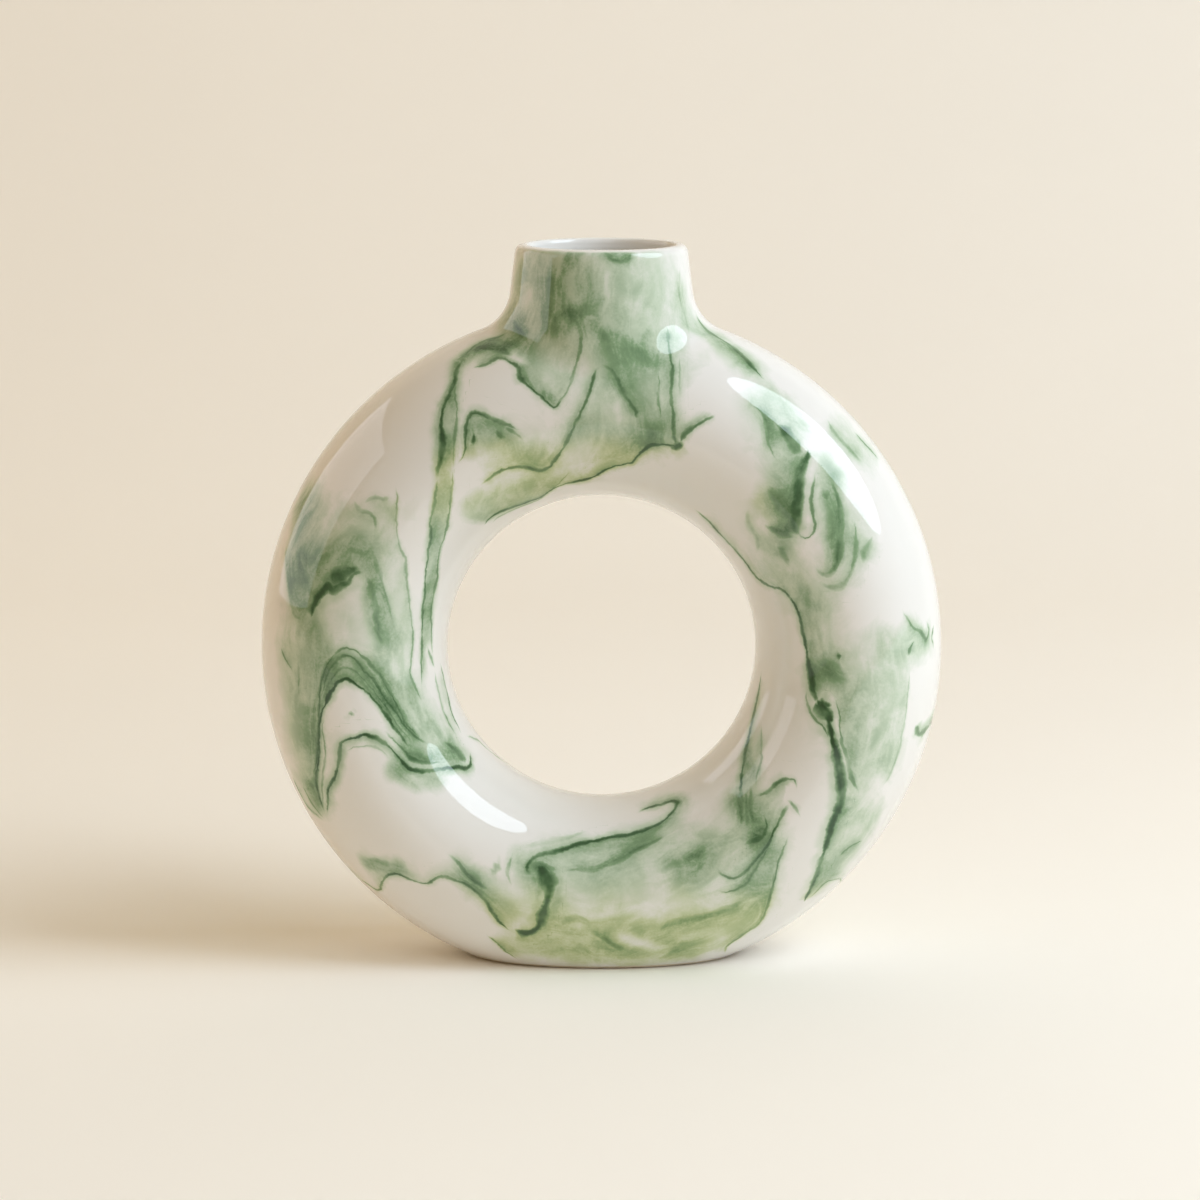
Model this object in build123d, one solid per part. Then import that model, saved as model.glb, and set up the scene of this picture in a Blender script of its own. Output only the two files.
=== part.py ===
from build123d import *
import os
from math import radians, sqrt, tan

# Ring vase of glazed ceramic: a hollow ring standing on a sliced-off foot, with a short neck on its crown.
# It is luted from two half shells, a neck collar and a foot slab, joined by thin layers of slip, and a
# white liner glaze poured through the mouth seals the joints and makes it hold water.
# Millimetres, +Z up. The origin is the middle of the standing plane, and the hole's axis runs along Y.
# The vase is the same on both sides of the joint between the half shells, the plane y = 0. So the front
# half is modelled, and the rear half is its mirror image.

# Driving dimensions of the ring
hole_diameter = 86.0
tube_thickness = 52.0        # between the hole and the outside, in the plane of the ring
front_shoulder = 6.35        # how far the tube stands out in front of the neck, and behind it
ring_wall = 4.0              # clay and liner together

# Driving dimensions of the neck
mouth_diameter = 40.5
lip_wall = 3.4
neck_rise = 17.6             # the lip above the crown of the ring
neck_taper_angle = 7.0       # degrees, widening downwards
neck_blend_radius = 12.0     # outside, where the neck flares into the ring
lip_outer_share = 0.7        # of the lip's wall, taken by the rounding outside
lip_inner_share = 0.25       # of the lip's wall, taken by the rounding inside

# Driving dimensions of the foot
foot_slice = 7.6             # height of the segment sliced off the round ring so that it stands
foot_thickness = 5.0
foot_edge_radius = 2.5
foot_rim_width = 6.0         # the bare rim that the vase stands on
foot_recess_depth = 1.2

# Driving dimensions of the joints and the liner
slip_thickness = 0.6
liner_thickness = 0.4

# Worked out from the driving dimensions
tube_radial = tube_thickness / 2
ring_radius = hole_diameter / 2 + tube_radial
ring_outer_radius = ring_radius + tube_radial
mouth_radius = mouth_diameter / 2
neck_top_radius = mouth_radius + lip_wall
tube_axial = neck_top_radius + front_shoulder
ring_height = ring_outer_radius - foot_slice
crown_height = ring_height + ring_outer_radius
overall_height = crown_height + neck_rise
tube_top_height = ring_height + ring_radius
liner_top = overall_height - lip_wall
neck_joint = crown_height
ring_bottom = foot_thickness + slip_thickness
base_half_length = sqrt(ring_outer_radius**2 - ring_height**2)
base_half_depth = tube_axial * sqrt(1 - ((ring_height - ring_radius) / tube_radial) ** 2)
joint_plane = Plane.XZ


def front_of(shape, distance=0.0):
    """The part of a shape in front of the joint between the half shells, from a distance before it."""
    return split(shape, bisect_by=joint_plane.offset(distance), keep=Keep.TOP)


def above(shape, height):
    """The part of a shape above a height."""
    return split(shape, bisect_by=Plane.XY.offset(height), keep=Keep.TOP)


def below(shape, height):
    """The part of a shape below a height."""
    return split(shape, bisect_by=Plane.XY.offset(height), keep=Keep.BOTTOM)


def both_halves(front):
    """A front half and its mirror image, as whole solids."""
    return front + mirror(front, about=joint_plane)


def ring_half(inset):
    """Front half of the ring: half an ellipse, drawn in by an inset, turned about the hole's axis."""
    tube = Plane.XY.offset(ring_height) * Pos(ring_radius, 0) * Ellipse(tube_radial - inset, tube_axial - inset)
    return revolve(front_of(tube), axis=Axis((0, 0, ring_height), (0, 1, 0)))


def blended(ring, neck, radius):
    """The ring and neck as one solid, with the crease where they meet rounded."""
    joined = ring + neck
    crease = joined.edges().filter_by(GeomType.BSPLINE)
    return fillet(crease, radius)


def outside_half():
    """Front half of the vase's outer form, solid right through, with its foot sliced flat."""
    neck_length = overall_height - tube_top_height
    neck_bottom_radius = neck_top_radius + neck_length * tan(radians(neck_taper_angle))
    cone = Cone(neck_bottom_radius, neck_top_radius, neck_length, align=(Align.CENTER, Align.CENTER, Align.MIN))
    neck = front_of(Pos(0, 0, tube_top_height) * cone)
    form = above(blended(ring_half(0), neck, neck_blend_radius), 0)
    base_edge = form.edges().filter_by(GeomType.BSPLINE).sort_by(Axis.Z)[0]
    return fillet(base_edge, foot_edge_radius)


def cavity_half(growth):
    """Front half of the space inside, down through the mouth and all round the ring, grown outwards."""
    bore_length = overall_height + lip_wall - tube_top_height
    bore = Cylinder(mouth_radius + growth, bore_length, align=(Align.CENTER, Align.CENTER, Align.MIN))
    throat = front_of(Pos(0, 0, tube_top_height) * bore)
    inner_blend = neck_blend_radius + ring_wall - growth
    space = blended(ring_half(ring_wall - growth), throat, inner_blend)
    return above(space, foot_thickness + liner_thickness - growth)


def liner_half():
    """Front half of the liner glaze, a thin skin over the whole cavity that stops under the lip."""
    return below(cavity_half(liner_thickness) - cavity_half(0), liner_top)


def lip_edges(vessel):
    """The round edges at the top of the lip, from the inside out."""
    return vessel.edges().filter_by(GeomType.CIRCLE).group_by(Axis.Z)[-1].sort_by(SortBy.RADIUS)


def clay_half():
    """Front half of all the clay, with its lip rounded, the liner's place left free and a recess under the foot."""
    vessel = outside_half() - cavity_half(0)
    vessel = fillet(lip_edges(vessel)[-1], lip_wall * lip_outer_share)
    vessel = fillet(lip_edges(vessel)[0], lip_wall * lip_inner_share)
    recess = extrude(Ellipse(base_half_length - foot_rim_width, base_half_depth - foot_rim_width), foot_recess_depth)
    return vessel - liner_half() - recess


clay = clay_half()
ring_clay = below(above(clay, ring_bottom), neck_joint)
ring_front = front_of(ring_clay, slip_thickness / 2)
seam_half = split(ring_clay, bisect_by=joint_plane.offset(slip_thickness / 2), keep=Keep.BOTTOM)
seams = both_halves(seam_half).solids().sort_by(lambda solid: solid.bounding_box().max.Z)

nodes = {
    "ring_front_half": [ring_front],
    "ring_rear_half": [mirror(ring_front, about=joint_plane)],
    "hole_seam": seams[:1],
    "outer_seam": seams[1:],
    "neck_collar": [both_halves(above(clay, neck_joint + slip_thickness))],
    "neck_seam": [both_halves(below(above(clay, neck_joint), neck_joint + slip_thickness))],
    "foot": [both_halves(below(clay, foot_thickness))],
    "foot_seam": [both_halves(below(above(clay, foot_thickness), ring_bottom))],
    "liner_glaze": [both_halves(liner_half())],
}

os.makedirs("parts", exist_ok=True)
for name, shapes in nodes.items():
    pieces = [solid for shape in shapes for solid in shape.solids()]
    export_step(Compound(children=pieces), f"parts/{name}.step")
    print(name, len(pieces), "solids", round(sum(piece.volume for piece in pieces)), "mm3")
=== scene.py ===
import logging
from collections.abc import Callable
from dataclasses import dataclass, field
from enum import Enum
from math import atan, cos, pi, radians, sin, tan

import bmesh
import bpy
import numpy as np
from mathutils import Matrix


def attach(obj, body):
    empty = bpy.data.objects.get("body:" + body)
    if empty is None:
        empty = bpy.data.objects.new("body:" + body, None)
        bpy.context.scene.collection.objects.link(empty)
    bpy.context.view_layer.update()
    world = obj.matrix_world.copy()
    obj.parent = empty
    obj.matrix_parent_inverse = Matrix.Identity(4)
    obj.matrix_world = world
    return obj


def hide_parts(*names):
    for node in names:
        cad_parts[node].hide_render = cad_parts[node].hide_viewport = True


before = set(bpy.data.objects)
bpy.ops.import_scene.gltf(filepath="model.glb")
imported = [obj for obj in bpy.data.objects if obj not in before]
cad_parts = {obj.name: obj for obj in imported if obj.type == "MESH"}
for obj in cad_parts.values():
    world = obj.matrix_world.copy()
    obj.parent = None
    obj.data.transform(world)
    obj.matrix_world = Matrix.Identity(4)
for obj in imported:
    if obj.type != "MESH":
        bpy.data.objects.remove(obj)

LOG = logging.getLogger("ring_vase")
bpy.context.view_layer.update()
MILLIMETRE = 0.001
ROOT_BODY = "root"
SHORTEST = 1e-6
TINY = 1e-9
LEAN_LIMITS = (-0.999, 0.9995)
LONGEST_STEP = 1.5
BLOCK_ROWS = 4000
GOLDEN_SHARE = 0.618
CUT_SLACK = 1e-5
Points = tuple[tuple[float, float], ...]
Place = tuple[float, float, float]
Colour = tuple[float, float, float, float]
Span = tuple[float, float]
Rule = Callable[[np.ndarray], np.ndarray]
Socket = bpy.types.NodeSocket


class Layer(Enum):
    """The two closed forms that are drawn from the same sizes."""

    CLAY = 0
    LINER = 1


class Side(Enum):
    """The side of the vase that a copy of the marbling lies on."""

    FRONT = 0
    REAR = 1


def hypot(first: np.ndarray, second: np.ndarray) -> np.ndarray:
    """Length of a two-part vector, never quite zero."""
    return np.maximum(np.hypot(first, second), SHORTEST)


def ease(low: float, high: float, value: np.ndarray) -> np.ndarray:
    """A smooth step from 0 at low to 1 at high.

    Args:
        low: Where the step starts.
        high: Where the step ends.
        value: The values to ease.

    Returns:
        The eased values, between 0 and 1.
    """
    share = np.clip((value - low) / (high - low), 0.0, 1.0)
    return share * share * (3.0 - 2.0 * share)


def soft_join(
    first: np.ndarray, first_n: np.ndarray, second: np.ndarray, second_n: np.ndarray, radius: float
) -> np.ndarray:
    """Distance to two joined forms, with a hollow fillet of a true radius in the crease between them.

    Args:
        first: Distance to the first form.
        first_n: Its unit normals.
        second: Distance to the second form.
        second_n: Its unit normals.
        radius: The fillet's radius.

    Returns:
        The distance to the joined form.
    """
    lean = np.clip((first_n * second_n).sum(1), *LEAN_LIMITS)
    a, b = first - radius, second - radius
    within = (a - b * lean <= 0) & (b - a * lean <= 0)
    reach = np.sqrt(np.maximum(a * a + b * b - 2 * a * b * lean, 0) / (1 - lean * lean))
    plain = np.minimum(first, second)
    return np.where(within, np.minimum(plain, radius - reach), plain)


def soft_cut(
    first: np.ndarray, first_n: np.ndarray, second: np.ndarray, second_n: np.ndarray, radius: float
) -> np.ndarray:
    """Distance to what two forms share, with the edge between them rounded.

    Args:
        first: Distance to the first form.
        first_n: Its unit normals.
        second: Distance to the second form.
        second_n: Its unit normals.
        radius: The rounding's radius.

    Returns:
        The distance to the shared form.
    """
    return -soft_join(-first, first_n, -second, second_n, radius)


@dataclass
class VaseForm:
    """The vase's rule in millimetres: an elliptic tube bent into a ring, a neck, and the space inside."""

    ring_radius: float = 69.0
    tube_radial: float = 26.0
    tube_axial: float = 30.0
    ring_height: float = 87.4
    height: float = 200.0
    neck_radius: float = 23.65
    neck_taper: float = tan(radians(7.0))
    neck_blend: float = 12.0
    mouth_radius: float = 20.25
    lip_outer: float = 2.38
    lip_inner: float = 0.85
    wall: float = 4.0
    liner: float = 0.4
    liner_top: float = 196.6
    liner_fade: float = 0.6
    floor: float = 5.4
    foot_edge: float = 2.5
    foot_rim: float = 6.0
    foot_recess: float = 1.2
    recess_slope: Span = (-0.02, 0.12)
    base_length: float = 37.24
    base_depth: float = 21.2

    @property
    def tube_top(self) -> float:
        """Height of the tube's middle at the crown."""
        return self.ring_height + self.ring_radius

    def tube(self, p: np.ndarray, inset: float | np.ndarray) -> tuple[np.ndarray, np.ndarray]:
        """Distance to the ring's tube.

        Args:
            p: The points.
            inset: How far the tube is drawn in.

        Returns:
            The distances and the tube's normals.
        """
        x, y, z = p[:, 0], p[:, 1], p[:, 2] - self.ring_height
        around = hypot(x, z)
        a, b = self.tube_radial - inset, self.tube_axial - inset
        e, g = (around - self.ring_radius) / a, y / b
        slope = hypot(e / a, g / b)
        normal = np.stack([e / a * x / around, g / b, e / a * z / around], 1) / slope[:, None]
        level = hypot(e, g)
        return level * (level - 1.0) / slope, normal

    def neck(self, p: np.ndarray, radius: float | np.ndarray, taper: float) -> tuple[np.ndarray, np.ndarray]:
        """Distance to a round neck that widens downwards.

        Args:
            p: The points.
            radius: The neck's radius at the lip.
            taper: How much it widens for each millimetre down.

        Returns:
            The distances and the neck's normals.
        """
        x, y, z = p[:, 0], p[:, 1], p[:, 2]
        around = hypot(x, y)
        lean = cos(atan(taper))
        normal = np.stack([x / around * lean, y / around * lean, np.full_like(x, taper * lean)], 1)
        return (around - radius - (self.height - z) * taper) * lean, normal

    def outside(self, p: np.ndarray) -> np.ndarray:
        """Distance to the vase's outside, with its lip rounded and its foot sliced, recessed and softened.

        Args:
            p: The points.

        Returns:
            The distances.
        """
        tube, tube_n = self.tube(p, 0.0)
        neck, neck_n = self.neck(p, self.neck_radius, self.neck_taper)
        body = soft_join(tube, tube_n, neck, neck_n, self.neck_blend)
        body = np.where(p[:, 2] < self.tube_top, tube, body)
        across = p[:, 0] / (self.base_length - self.foot_rim)
        deep = p[:, 1] / (self.base_depth - self.foot_rim)
        base = self.foot_recess * ease(*self.recess_slope, 1.0 - hypot(across, deep)) - p[:, 2]
        down = np.tile((0.0, 0.0, -1.0), (len(p), 1))
        footed = soft_cut(body, tube_n, base, down, self.foot_edge)
        lipped = soft_cut(body, neck_n, p[:, 2] - self.height, -down, self.lip_outer)
        return np.where(p[:, 2] < self.ring_height, footed, lipped)

    def inside(self, p: np.ndarray, growth: float | np.ndarray) -> tuple[np.ndarray, np.ndarray]:
        """Distance to the space inside.

        Args:
            p: The points.
            growth: How far the space is grown outwards.

        Returns:
            The distances and the bore's normals.
        """
        tube, tube_n = self.tube(p, self.wall - growth)
        bore, bore_n = self.neck(p, self.mouth_radius + growth, 0.0)
        space = soft_join(tube, tube_n, bore, bore_n, self.neck_blend + self.wall - self.liner)
        space = np.where(p[:, 2] < self.tube_top, tube, space)
        return np.maximum(space, self.floor - growth - p[:, 2]), bore_n

    def clay(self, p: np.ndarray) -> np.ndarray:
        """Distance to the clay: the outside less the inside and the liner's place.

        Args:
            p: The points.

        Returns:
            The distances.
        """
        fade = ease(self.liner_top - self.liner_fade, self.liner_top + self.liner_fade, p[:, 2])
        outside = self.outside(p)
        space, bore_n = self.inside(p, self.liner * (1.0 - fade))
        up = np.tile((0.0, 0.0, 1.0), (len(p), 1))
        lip = soft_cut(outside, up, -space, -bore_n, self.lip_inner)
        return np.where(p[:, 2] > self.liner_top, lip, np.maximum(outside, -space))

    def lining(self, p: np.ndarray) -> np.ndarray:
        """Distance to the liner's visible face."""
        return self.inside(p, 0.0)[0]

    def slope(self, rule: Rule, p: np.ndarray, step: float = 0.01) -> np.ndarray:
        """Unit normals of a distance rule, from small steps along each axis.

        Args:
            rule: One of this form's distance methods.
            p: The points.
            step: The step's length.

        Returns:
            One unit normal for each point.
        """
        parts = []
        for axis in np.eye(3):
            parts.append((rule(p + axis * step) - rule(p - axis * step)) / (2 * step))
        normal = np.stack(parts, 1)
        return normal / np.maximum(np.linalg.norm(normal, axis=1, keepdims=True), TINY)

    def settle(self, rule: Rule, p: np.ndarray, rounds: int = 5) -> np.ndarray:
        """Moves points along the normals until they lie on a rule's surface.

        Args:
            rule: One of this form's distance methods.
            p: Points near the surface.
            rounds: How often to step.

        Returns:
            The moved points.
        """
        for _ in range(rounds):
            p = p - np.clip(rule(p), -LONGEST_STEP, LONGEST_STEP)[:, None] * self.slope(rule, p)
        return p


@dataclass
class Viewpoint:
    """The camera's place, found by fitting the vase's outline, and the photograph's frame in pixels."""

    place: Place = (-0.4, -1200.0, 297.0)
    pitch: float = radians(9.3)
    frame_pixels: float = 1200.0
    focal_pixels: float = 4353.0
    sensor: float = 36.0
    nearest: float = 1130.0
    farthest: float = 1290.0
    halvings: int = 14

    def build(self) -> bpy.types.Object:
        """Makes the camera and sets the scene to look through it.

        Returns:
            The camera object.
        """
        data = bpy.data.cameras.new("viewpoint")
        data.sensor_width = self.sensor
        data.lens = self.sensor * self.focal_pixels / self.frame_pixels
        camera = bpy.data.objects.new("viewpoint", data)
        camera.location = [MILLIMETRE * part for part in self.place]
        camera.rotation_euler = (pi / 2 - self.pitch, 0.0, 0.0)
        bpy.context.scene.collection.objects.link(camera)
        bpy.context.scene.camera = camera
        return camera

    def cast(self, form: VaseForm, pixels: np.ndarray) -> np.ndarray:
        """Finds the points of the vase's outside that lie under pixels of the photograph.

        Args:
            form: The vase's rule.
            pixels: Pixel places, across and down.

        Returns:
            One point on the surface for each pixel, in millimetres.
        """
        middle = self.frame_pixels / 2
        across = (pixels[:, 0] - middle) / self.focal_pixels
        upward = (middle - pixels[:, 1]) / self.focal_pixels
        ahead = np.array((0.0, cos(self.pitch), -sin(self.pitch)))
        above = np.array((0.0, sin(self.pitch), cos(self.pitch)))
        ray = ahead + across[:, None] * np.array((1.0, 0.0, 0.0)) + upward[:, None] * above
        ray /= np.linalg.norm(ray, axis=1, keepdims=True)
        eye = np.array(self.place)
        steps = np.arange(self.nearest, self.farthest, 1.0)
        depth = np.stack([form.outside(eye + ray * step) for step in steps], 1)
        hit = depth < 0.0
        first = np.where(hit.any(1), hit.argmax(1), depth.argmin(1))
        low = steps[np.maximum(first - 1, 0)]
        high = steps[first]
        for _ in range(self.halvings):
            mid = (low + high) / 2
            inside = form.outside(eye + ray * mid[:, None]) < 0.0
            high = np.where(inside, mid, high)
            low = np.where(inside, low, mid)
        return form.settle(form.outside, eye + ray * high[:, None], 3)


@dataclass(frozen=True)
class Vein:
    """A line of dark glaze, drawn over the photograph, and the wash that bleeds from its sides.

    The path is in pixels. The half width, the reach of each wash and the length of the tips are in
    millimetres, and each wash gives its density before its reach.
    """

    name: str
    path: Points
    half_width: float = 0.5
    dark: float = 0.8
    left: Span = (0.0, 1.0)
    right: Span = (0.0, 1.0)
    tip: float = 8.0


@dataclass(frozen=True)
class Wash:
    """A soft cloud of thin glaze along a short path in pixels, with its reach in millimetres."""

    name: str
    path: Points
    reach: float
    density: float


DRY = (0.0, 1.0)

VEINS: tuple[Vein, ...] = (
    Vein("crown_left_edge", ((466, 356), (461, 362), (456, 371), (455, 381), (450, 394), (443, 408),
         (441, 424), (443, 442), (441, 458), (437, 470), (436, 484)), 0.78, 0.95, (0.3, 2.5), (0.4, 2.2)),
    Vein("crown_left_edge_low", ((437, 474), (436, 486), (434, 503), (431, 520), (430, 540), (427, 563),
         (425, 587), (423, 612), (422, 632), (422, 662), (421, 690)), 0.42, 0.62, (0.3, 2.0), (0.1, 1.0)),
    Vein("crown_left_partner", ((461, 366), (456, 384), (455, 400), (456, 414), (455, 436), (454, 452),
         (453, 472)), 0.4, 0.45, (0.1, 2.0), (0.25, 2.0)),
    Vein("crown_left_partner_low", ((453, 466), (452, 486), (450, 507), (447, 525), (443, 542),
         (438, 557), (437, 578), (433, 600), (431, 620), (432, 645), (433, 660)),
         0.4, 0.55, DRY, (0.25, 2.0)),
    Vein("inner_arch", ((456, 468), (460, 460), (465, 450), (466, 436), (467, 424), (471, 413),
         (478, 412), (490, 418), (504, 424), (514, 428), (524, 431)), 0.5, 0.7, DRY, (0.35, 3.5)),
    Vein("inner_arch_dab", ((474, 434), (473, 440), (472, 445)), 0.9, 0.7, DRY, DRY, 2.0),
    Vein("inner_arch_flecks", ((494, 431), (500, 435), (505, 439)), 0.6, 0.5, DRY, DRY, 2.0),
    Vein("inner_arch_fringe", ((503, 428), (514, 433), (523, 440)), 0.6, 0.45, DRY, DRY, 3.0),
    Vein("shoulder_arch", ((471, 368), (482, 366), (490, 362), (500, 358), (510, 362), (518, 368),
         (521, 378), (528, 386), (538, 394), (548, 402), (554, 408), (559, 403), (564, 396)),
         0.5, 0.8, (0.5, 3.4), DRY, 4.0),
    Vein("wedge_right", ((546, 402), (553, 408), (560, 400), (568, 388), (573, 376), (577, 362),
         (581, 342), (582, 326)), 0.5, 0.5, (0.2, 5.0)),
    Vein("shoulder_dark", ((468, 353), (482, 346), (496, 348), (508, 354), (516, 356)),
         1.2, 0.5, (0.35, 4.0), (0.3, 3.0)),
    Vein("shoulder_rim", ((462, 360), (472, 348), (486, 340), (500, 336), (512, 330)),
         0.5, 0.4, DRY, (0.45, 4.5)),
    Vein("saddle_vein", ((478, 488), (490, 478), (502, 470), (516, 467), (530, 468), (539, 471),
         (548, 468), (558, 456), (566, 442), (574, 426), (582, 410), (588, 396), (592, 382), (596, 372),
         (604, 366)), 0.55, 0.68, (0.25, 4.0), (0.15, 4.0)),
    Vein("saddle_branch", ((602, 366), (610, 369), (616, 378), (622, 390), (630, 402), (635, 412),
         (636, 420)), 0.75, 0.55, (0.15, 4.0), (0.15, 4.0), 3.0),
    Vein("neck_right_drop", ((667, 326), (669, 344), (671, 360), (672, 380), (671, 396), (673, 416),
         (674, 434), (677, 446), (679, 450)), 0.42, 0.6, (0.2, 2.5), (0.2, 3.2), 3.0),
    Vein("neck_right_hair", ((658, 368), (659, 395), (661, 422)), 0.3, 0.35),
    Vein("neck_right_hair_outer", ((679, 354), (680, 376), (680, 398)), 0.3, 0.25),
    Vein("neck_right_knot", ((670, 445), (677, 447), (684, 442)), 1.7, 0.85, DRY, DRY, 2.0),
    Vein("neck_right_hook", ((679, 444), (686, 434), (696, 426), (706, 420), (716, 414)),
         0.8, 0.65, (0.35, 2.5), (0.1, 2.0), 3.0),
    Vein("hole_top_vein", ((484, 526), (488, 520), (496, 514), (510, 508), (526, 503), (542, 497),
         (550, 491), (562, 485), (578, 481), (594, 477), (604, 471), (616, 466), (632, 462), (640, 454),
         (648, 446), (658, 444), (670, 445), (677, 446), (683, 446)),
         0.45, 0.85, (0.35, 6.0), (0.12, 2.5), 3.0),
    Vein("hole_top_twin", ((488, 527), (500, 516), (520, 507), (540, 499), (556, 486), (566, 476),
         (572, 468)), 0.35, 0.4, (0.15, 3.0)),
    Vein("right_shoulder", ((694, 309), (699, 320), (708, 331), (727, 343), (742, 355), (755, 370),
         (768, 383)), 0.6, 0.65, DRY, (0.35, 5.0)),
    Vein("neck_right_edge", ((680, 262), (680, 292), (685, 317), (691, 338)),
         0.6, 0.15, (0.05, 3.0), (0.15, 4.0)),
    Vein("neck_left_fold", ((512, 318), (520, 332), (530, 346)), 0.8, 0.35, (0.2, 3.0), (0.2, 3.0)),
    Vein("lip_drop", ((603, 251), (610, 258), (618, 262), (626, 259), (632, 253)),
         0.7, 0.3, (0.2, 2.0), DRY, 2.0),
    Vein("limb_left_line", ((395, 483), (397, 505), (397, 528), (400, 547), (405, 557), (406, 578),
         (409, 602), (412, 622), (413, 640), (411, 664), (411, 676), (415, 686), (420, 697), (424, 705)),
         0.38, 0.42, DRY, (0.2, 4.0)),
    Vein("limb_top_fleck", ((352, 498), (360, 510), (371, 514), (375, 520), (375, 534)),
         0.5, 0.35, DRY, (0.2, 3.0)),
    Vein("limb_top_crest", ((362, 503), (368, 500), (376, 497), (384, 500), (391, 495)),
         0.6, 0.35, DRY, (0.2, 3.0)),
    Vein("limb_right_stream", ((372, 545), (376, 560), (381, 577), (386, 592), (389, 606), (394, 625)),
         0.6, 0.3, DRY, (0.35, 4.0)),
    Vein("limb_mid_stream", ((364, 570), (371, 587), (375, 603), (376, 622), (384, 650)),
         1.2, 0.35, (0.3, 3.0), (0.3, 3.0)),
    Vein("left_blob_edge", ((310, 618), (315, 602), (322, 593), (328, 585), (333, 591), (341, 585),
         (349, 583), (353, 575), (364, 571)), 0.9, 0.85, (0.5, 3.5), DRY, 3.0),
    Vein("left_blob_core", ((326, 579), (338, 576), (348, 573), (361, 567)),
         1.8, 0.92, (0.3, 4.0), DRY, 4.0),
    Vein("left_pane_streak", ((300, 540), (303, 565), (309, 587), (312, 602)),
         1.6, 0.22, (0.3, 5.0), (0.3, 5.0), 10.0),
    Vein("left_rim_curve", ((286, 540), (286, 563), (288, 587), (292, 607), (297, 618), (308, 621)),
         0.5, 0.25, (0.4, 5.0), DRY, 9.0),
    Vein("left_rim_low", ((280, 647), (286, 660), (294, 672)), 0.6, 0.5, (0.2, 3.0), DRY, 3.0),
    Vein("left_rim_hair", ((298, 660), (299, 676), (298, 690)), 0.3, 0.4, DRY, DRY, 3.0),
    Vein("arch_upper_left", ((313, 780), (317, 757), (318, 732), (319, 713), (320, 691), (324, 675),
         (330, 660), (339, 650)), 0.42, 0.6, (0.25, 4.0), (0.2, 2.0)),
    Vein("arch_upper_right", ((330, 660), (339, 650), (349, 648), (358, 652), (370, 664), (380, 675),
         (389, 691), (397, 706), (408, 725), (424, 741)), 0.4, 0.5, (0.14, 4.0), (0.2, 2.5)),
    Vein("arch_upper_line", ((321, 700), (328, 675), (334, 664), (343, 656), (353, 658), (364, 670),
         (374, 681), (385, 698), (397, 714), (412, 733), (431, 746)), 0.38, 0.52, DRY, (0.18, 2.0)),
    Vein("arch_middle", ((326, 816), (321, 802), (317, 789), (317, 774), (319, 758), (319, 742),
         (319, 726), (321, 714), (326, 702), (334, 687), (343, 679), (352, 681), (363, 689), (374, 700),
         (383, 711), (392, 723), (403, 738), (411, 752)), 0.5, 0.9, (0.4, 3.5)),
    Vein("arch_middle_inner", ((325, 815), (322, 795), (323, 775), (325, 757), (324, 742), (322, 727),
         (325, 713)), 0.3, 0.5),
    Vein("arch_lower", ((328, 818), (328, 804), (328, 790), (334, 780), (338, 767), (339, 753),
         (341, 744), (347, 740), (356, 738), (363, 735), (374, 738), (383, 743), (392, 749), (400, 760),
         (408, 769), (420, 771), (434, 770), (446, 769), (458, 767), (467, 768), (471, 760), (470, 749)),
         0.5, 0.9, (0.15, 2.0), (0.3, 2.2)),
    Vein("arch_lower_under", ((343, 752), (356, 747), (370, 746), (382, 751), (390, 760)), 0.35, 0.4),
    Vein("arch_lower_twin", ((381, 729), (392, 738), (401, 747), (409, 758), (420, 762), (432, 763),
         (446, 762)), 0.5, 0.6, (0.3, 3.0)),
    Vein("arch_pool_right", ((443, 742), (454, 749), (463, 758), (466, 765)),
         1.2, 0.55, (0.2, 3.0), (0.3, 3.0), 3.0),
    Vein("arch_dab", ((350, 711), (352, 714), (354, 715)), 0.9, 0.45, DRY, DRY, 1.5),
    Vein("left_foot_sweep", ((290, 771), (299, 791), (308, 807), (318, 816), (326, 822)),
         0.5, 0.7, (0.3, 3.5)),
    Vein("left_foot_twin", ((301, 782), (310, 800), (319, 813), (326, 819)), 0.4, 0.5),
    Vein("left_hole_line", ((439, 660), (443, 676), (448, 696), (452, 713), (458, 727), (463, 738)),
         0.42, 0.65, DRY, (0.3, 4.0)),
    Vein("left_hole_mid", ((434, 667), (438, 690), (444, 712), (452, 728), (459, 738)), 0.4, 0.45),
    Vein("left_hole_top", ((427, 646), (431, 658), (435, 668)), 0.4, 0.5, DRY, DRY, 3.0),
    Vein("hole_low_rim", ((464, 735), (477, 740), (490, 751), (505, 762), (519, 771), (532, 777)),
         0.4, 0.45),
    Vein("right_shoulder_low", ((746, 403), (753, 406), (763, 414), (766, 427), (768, 442), (772, 452),
         (779, 464)), 0.5, 0.4, (0.3, 4.0)),
    Vein("right_drip_head", ((777, 423), (786, 434), (795, 446), (803, 456)),
         1.8, 0.75, (0.2, 2.0), (0.2, 3.0), 4.0),
    Vein("right_drip", ((806, 448), (808, 456), (803, 468), (800, 482), (798, 500), (797, 515),
         (796, 530), (799, 536)), 1.15, 0.85, DRY, (0.35, 4.0), 3.0),
    Vein("right_drip_bulb", ((798, 528), (799, 535), (803, 538), (809, 537), (814, 531), (815, 524),
         (813, 516), (811, 500), (814, 484), (817, 468)), 0.5, 0.6),
    Vein("right_drip_second", ((828, 476), (835, 490), (840, 505), (841, 535), (839, 558), (834, 571),
         (826, 575), (817, 571), (814, 564)), 0.7, 0.42, DRY, (0.3, 4.0)),
    Vein("right_drip_second_core", ((824, 486), (828, 505), (831, 530), (830, 555)),
         1.8, 0.2, DRY, DRY, 5.0),
    Vein("right_drip_outer", ((854, 515), (856, 545), (852, 568), (845, 584), (835, 588), (825, 585),
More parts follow.
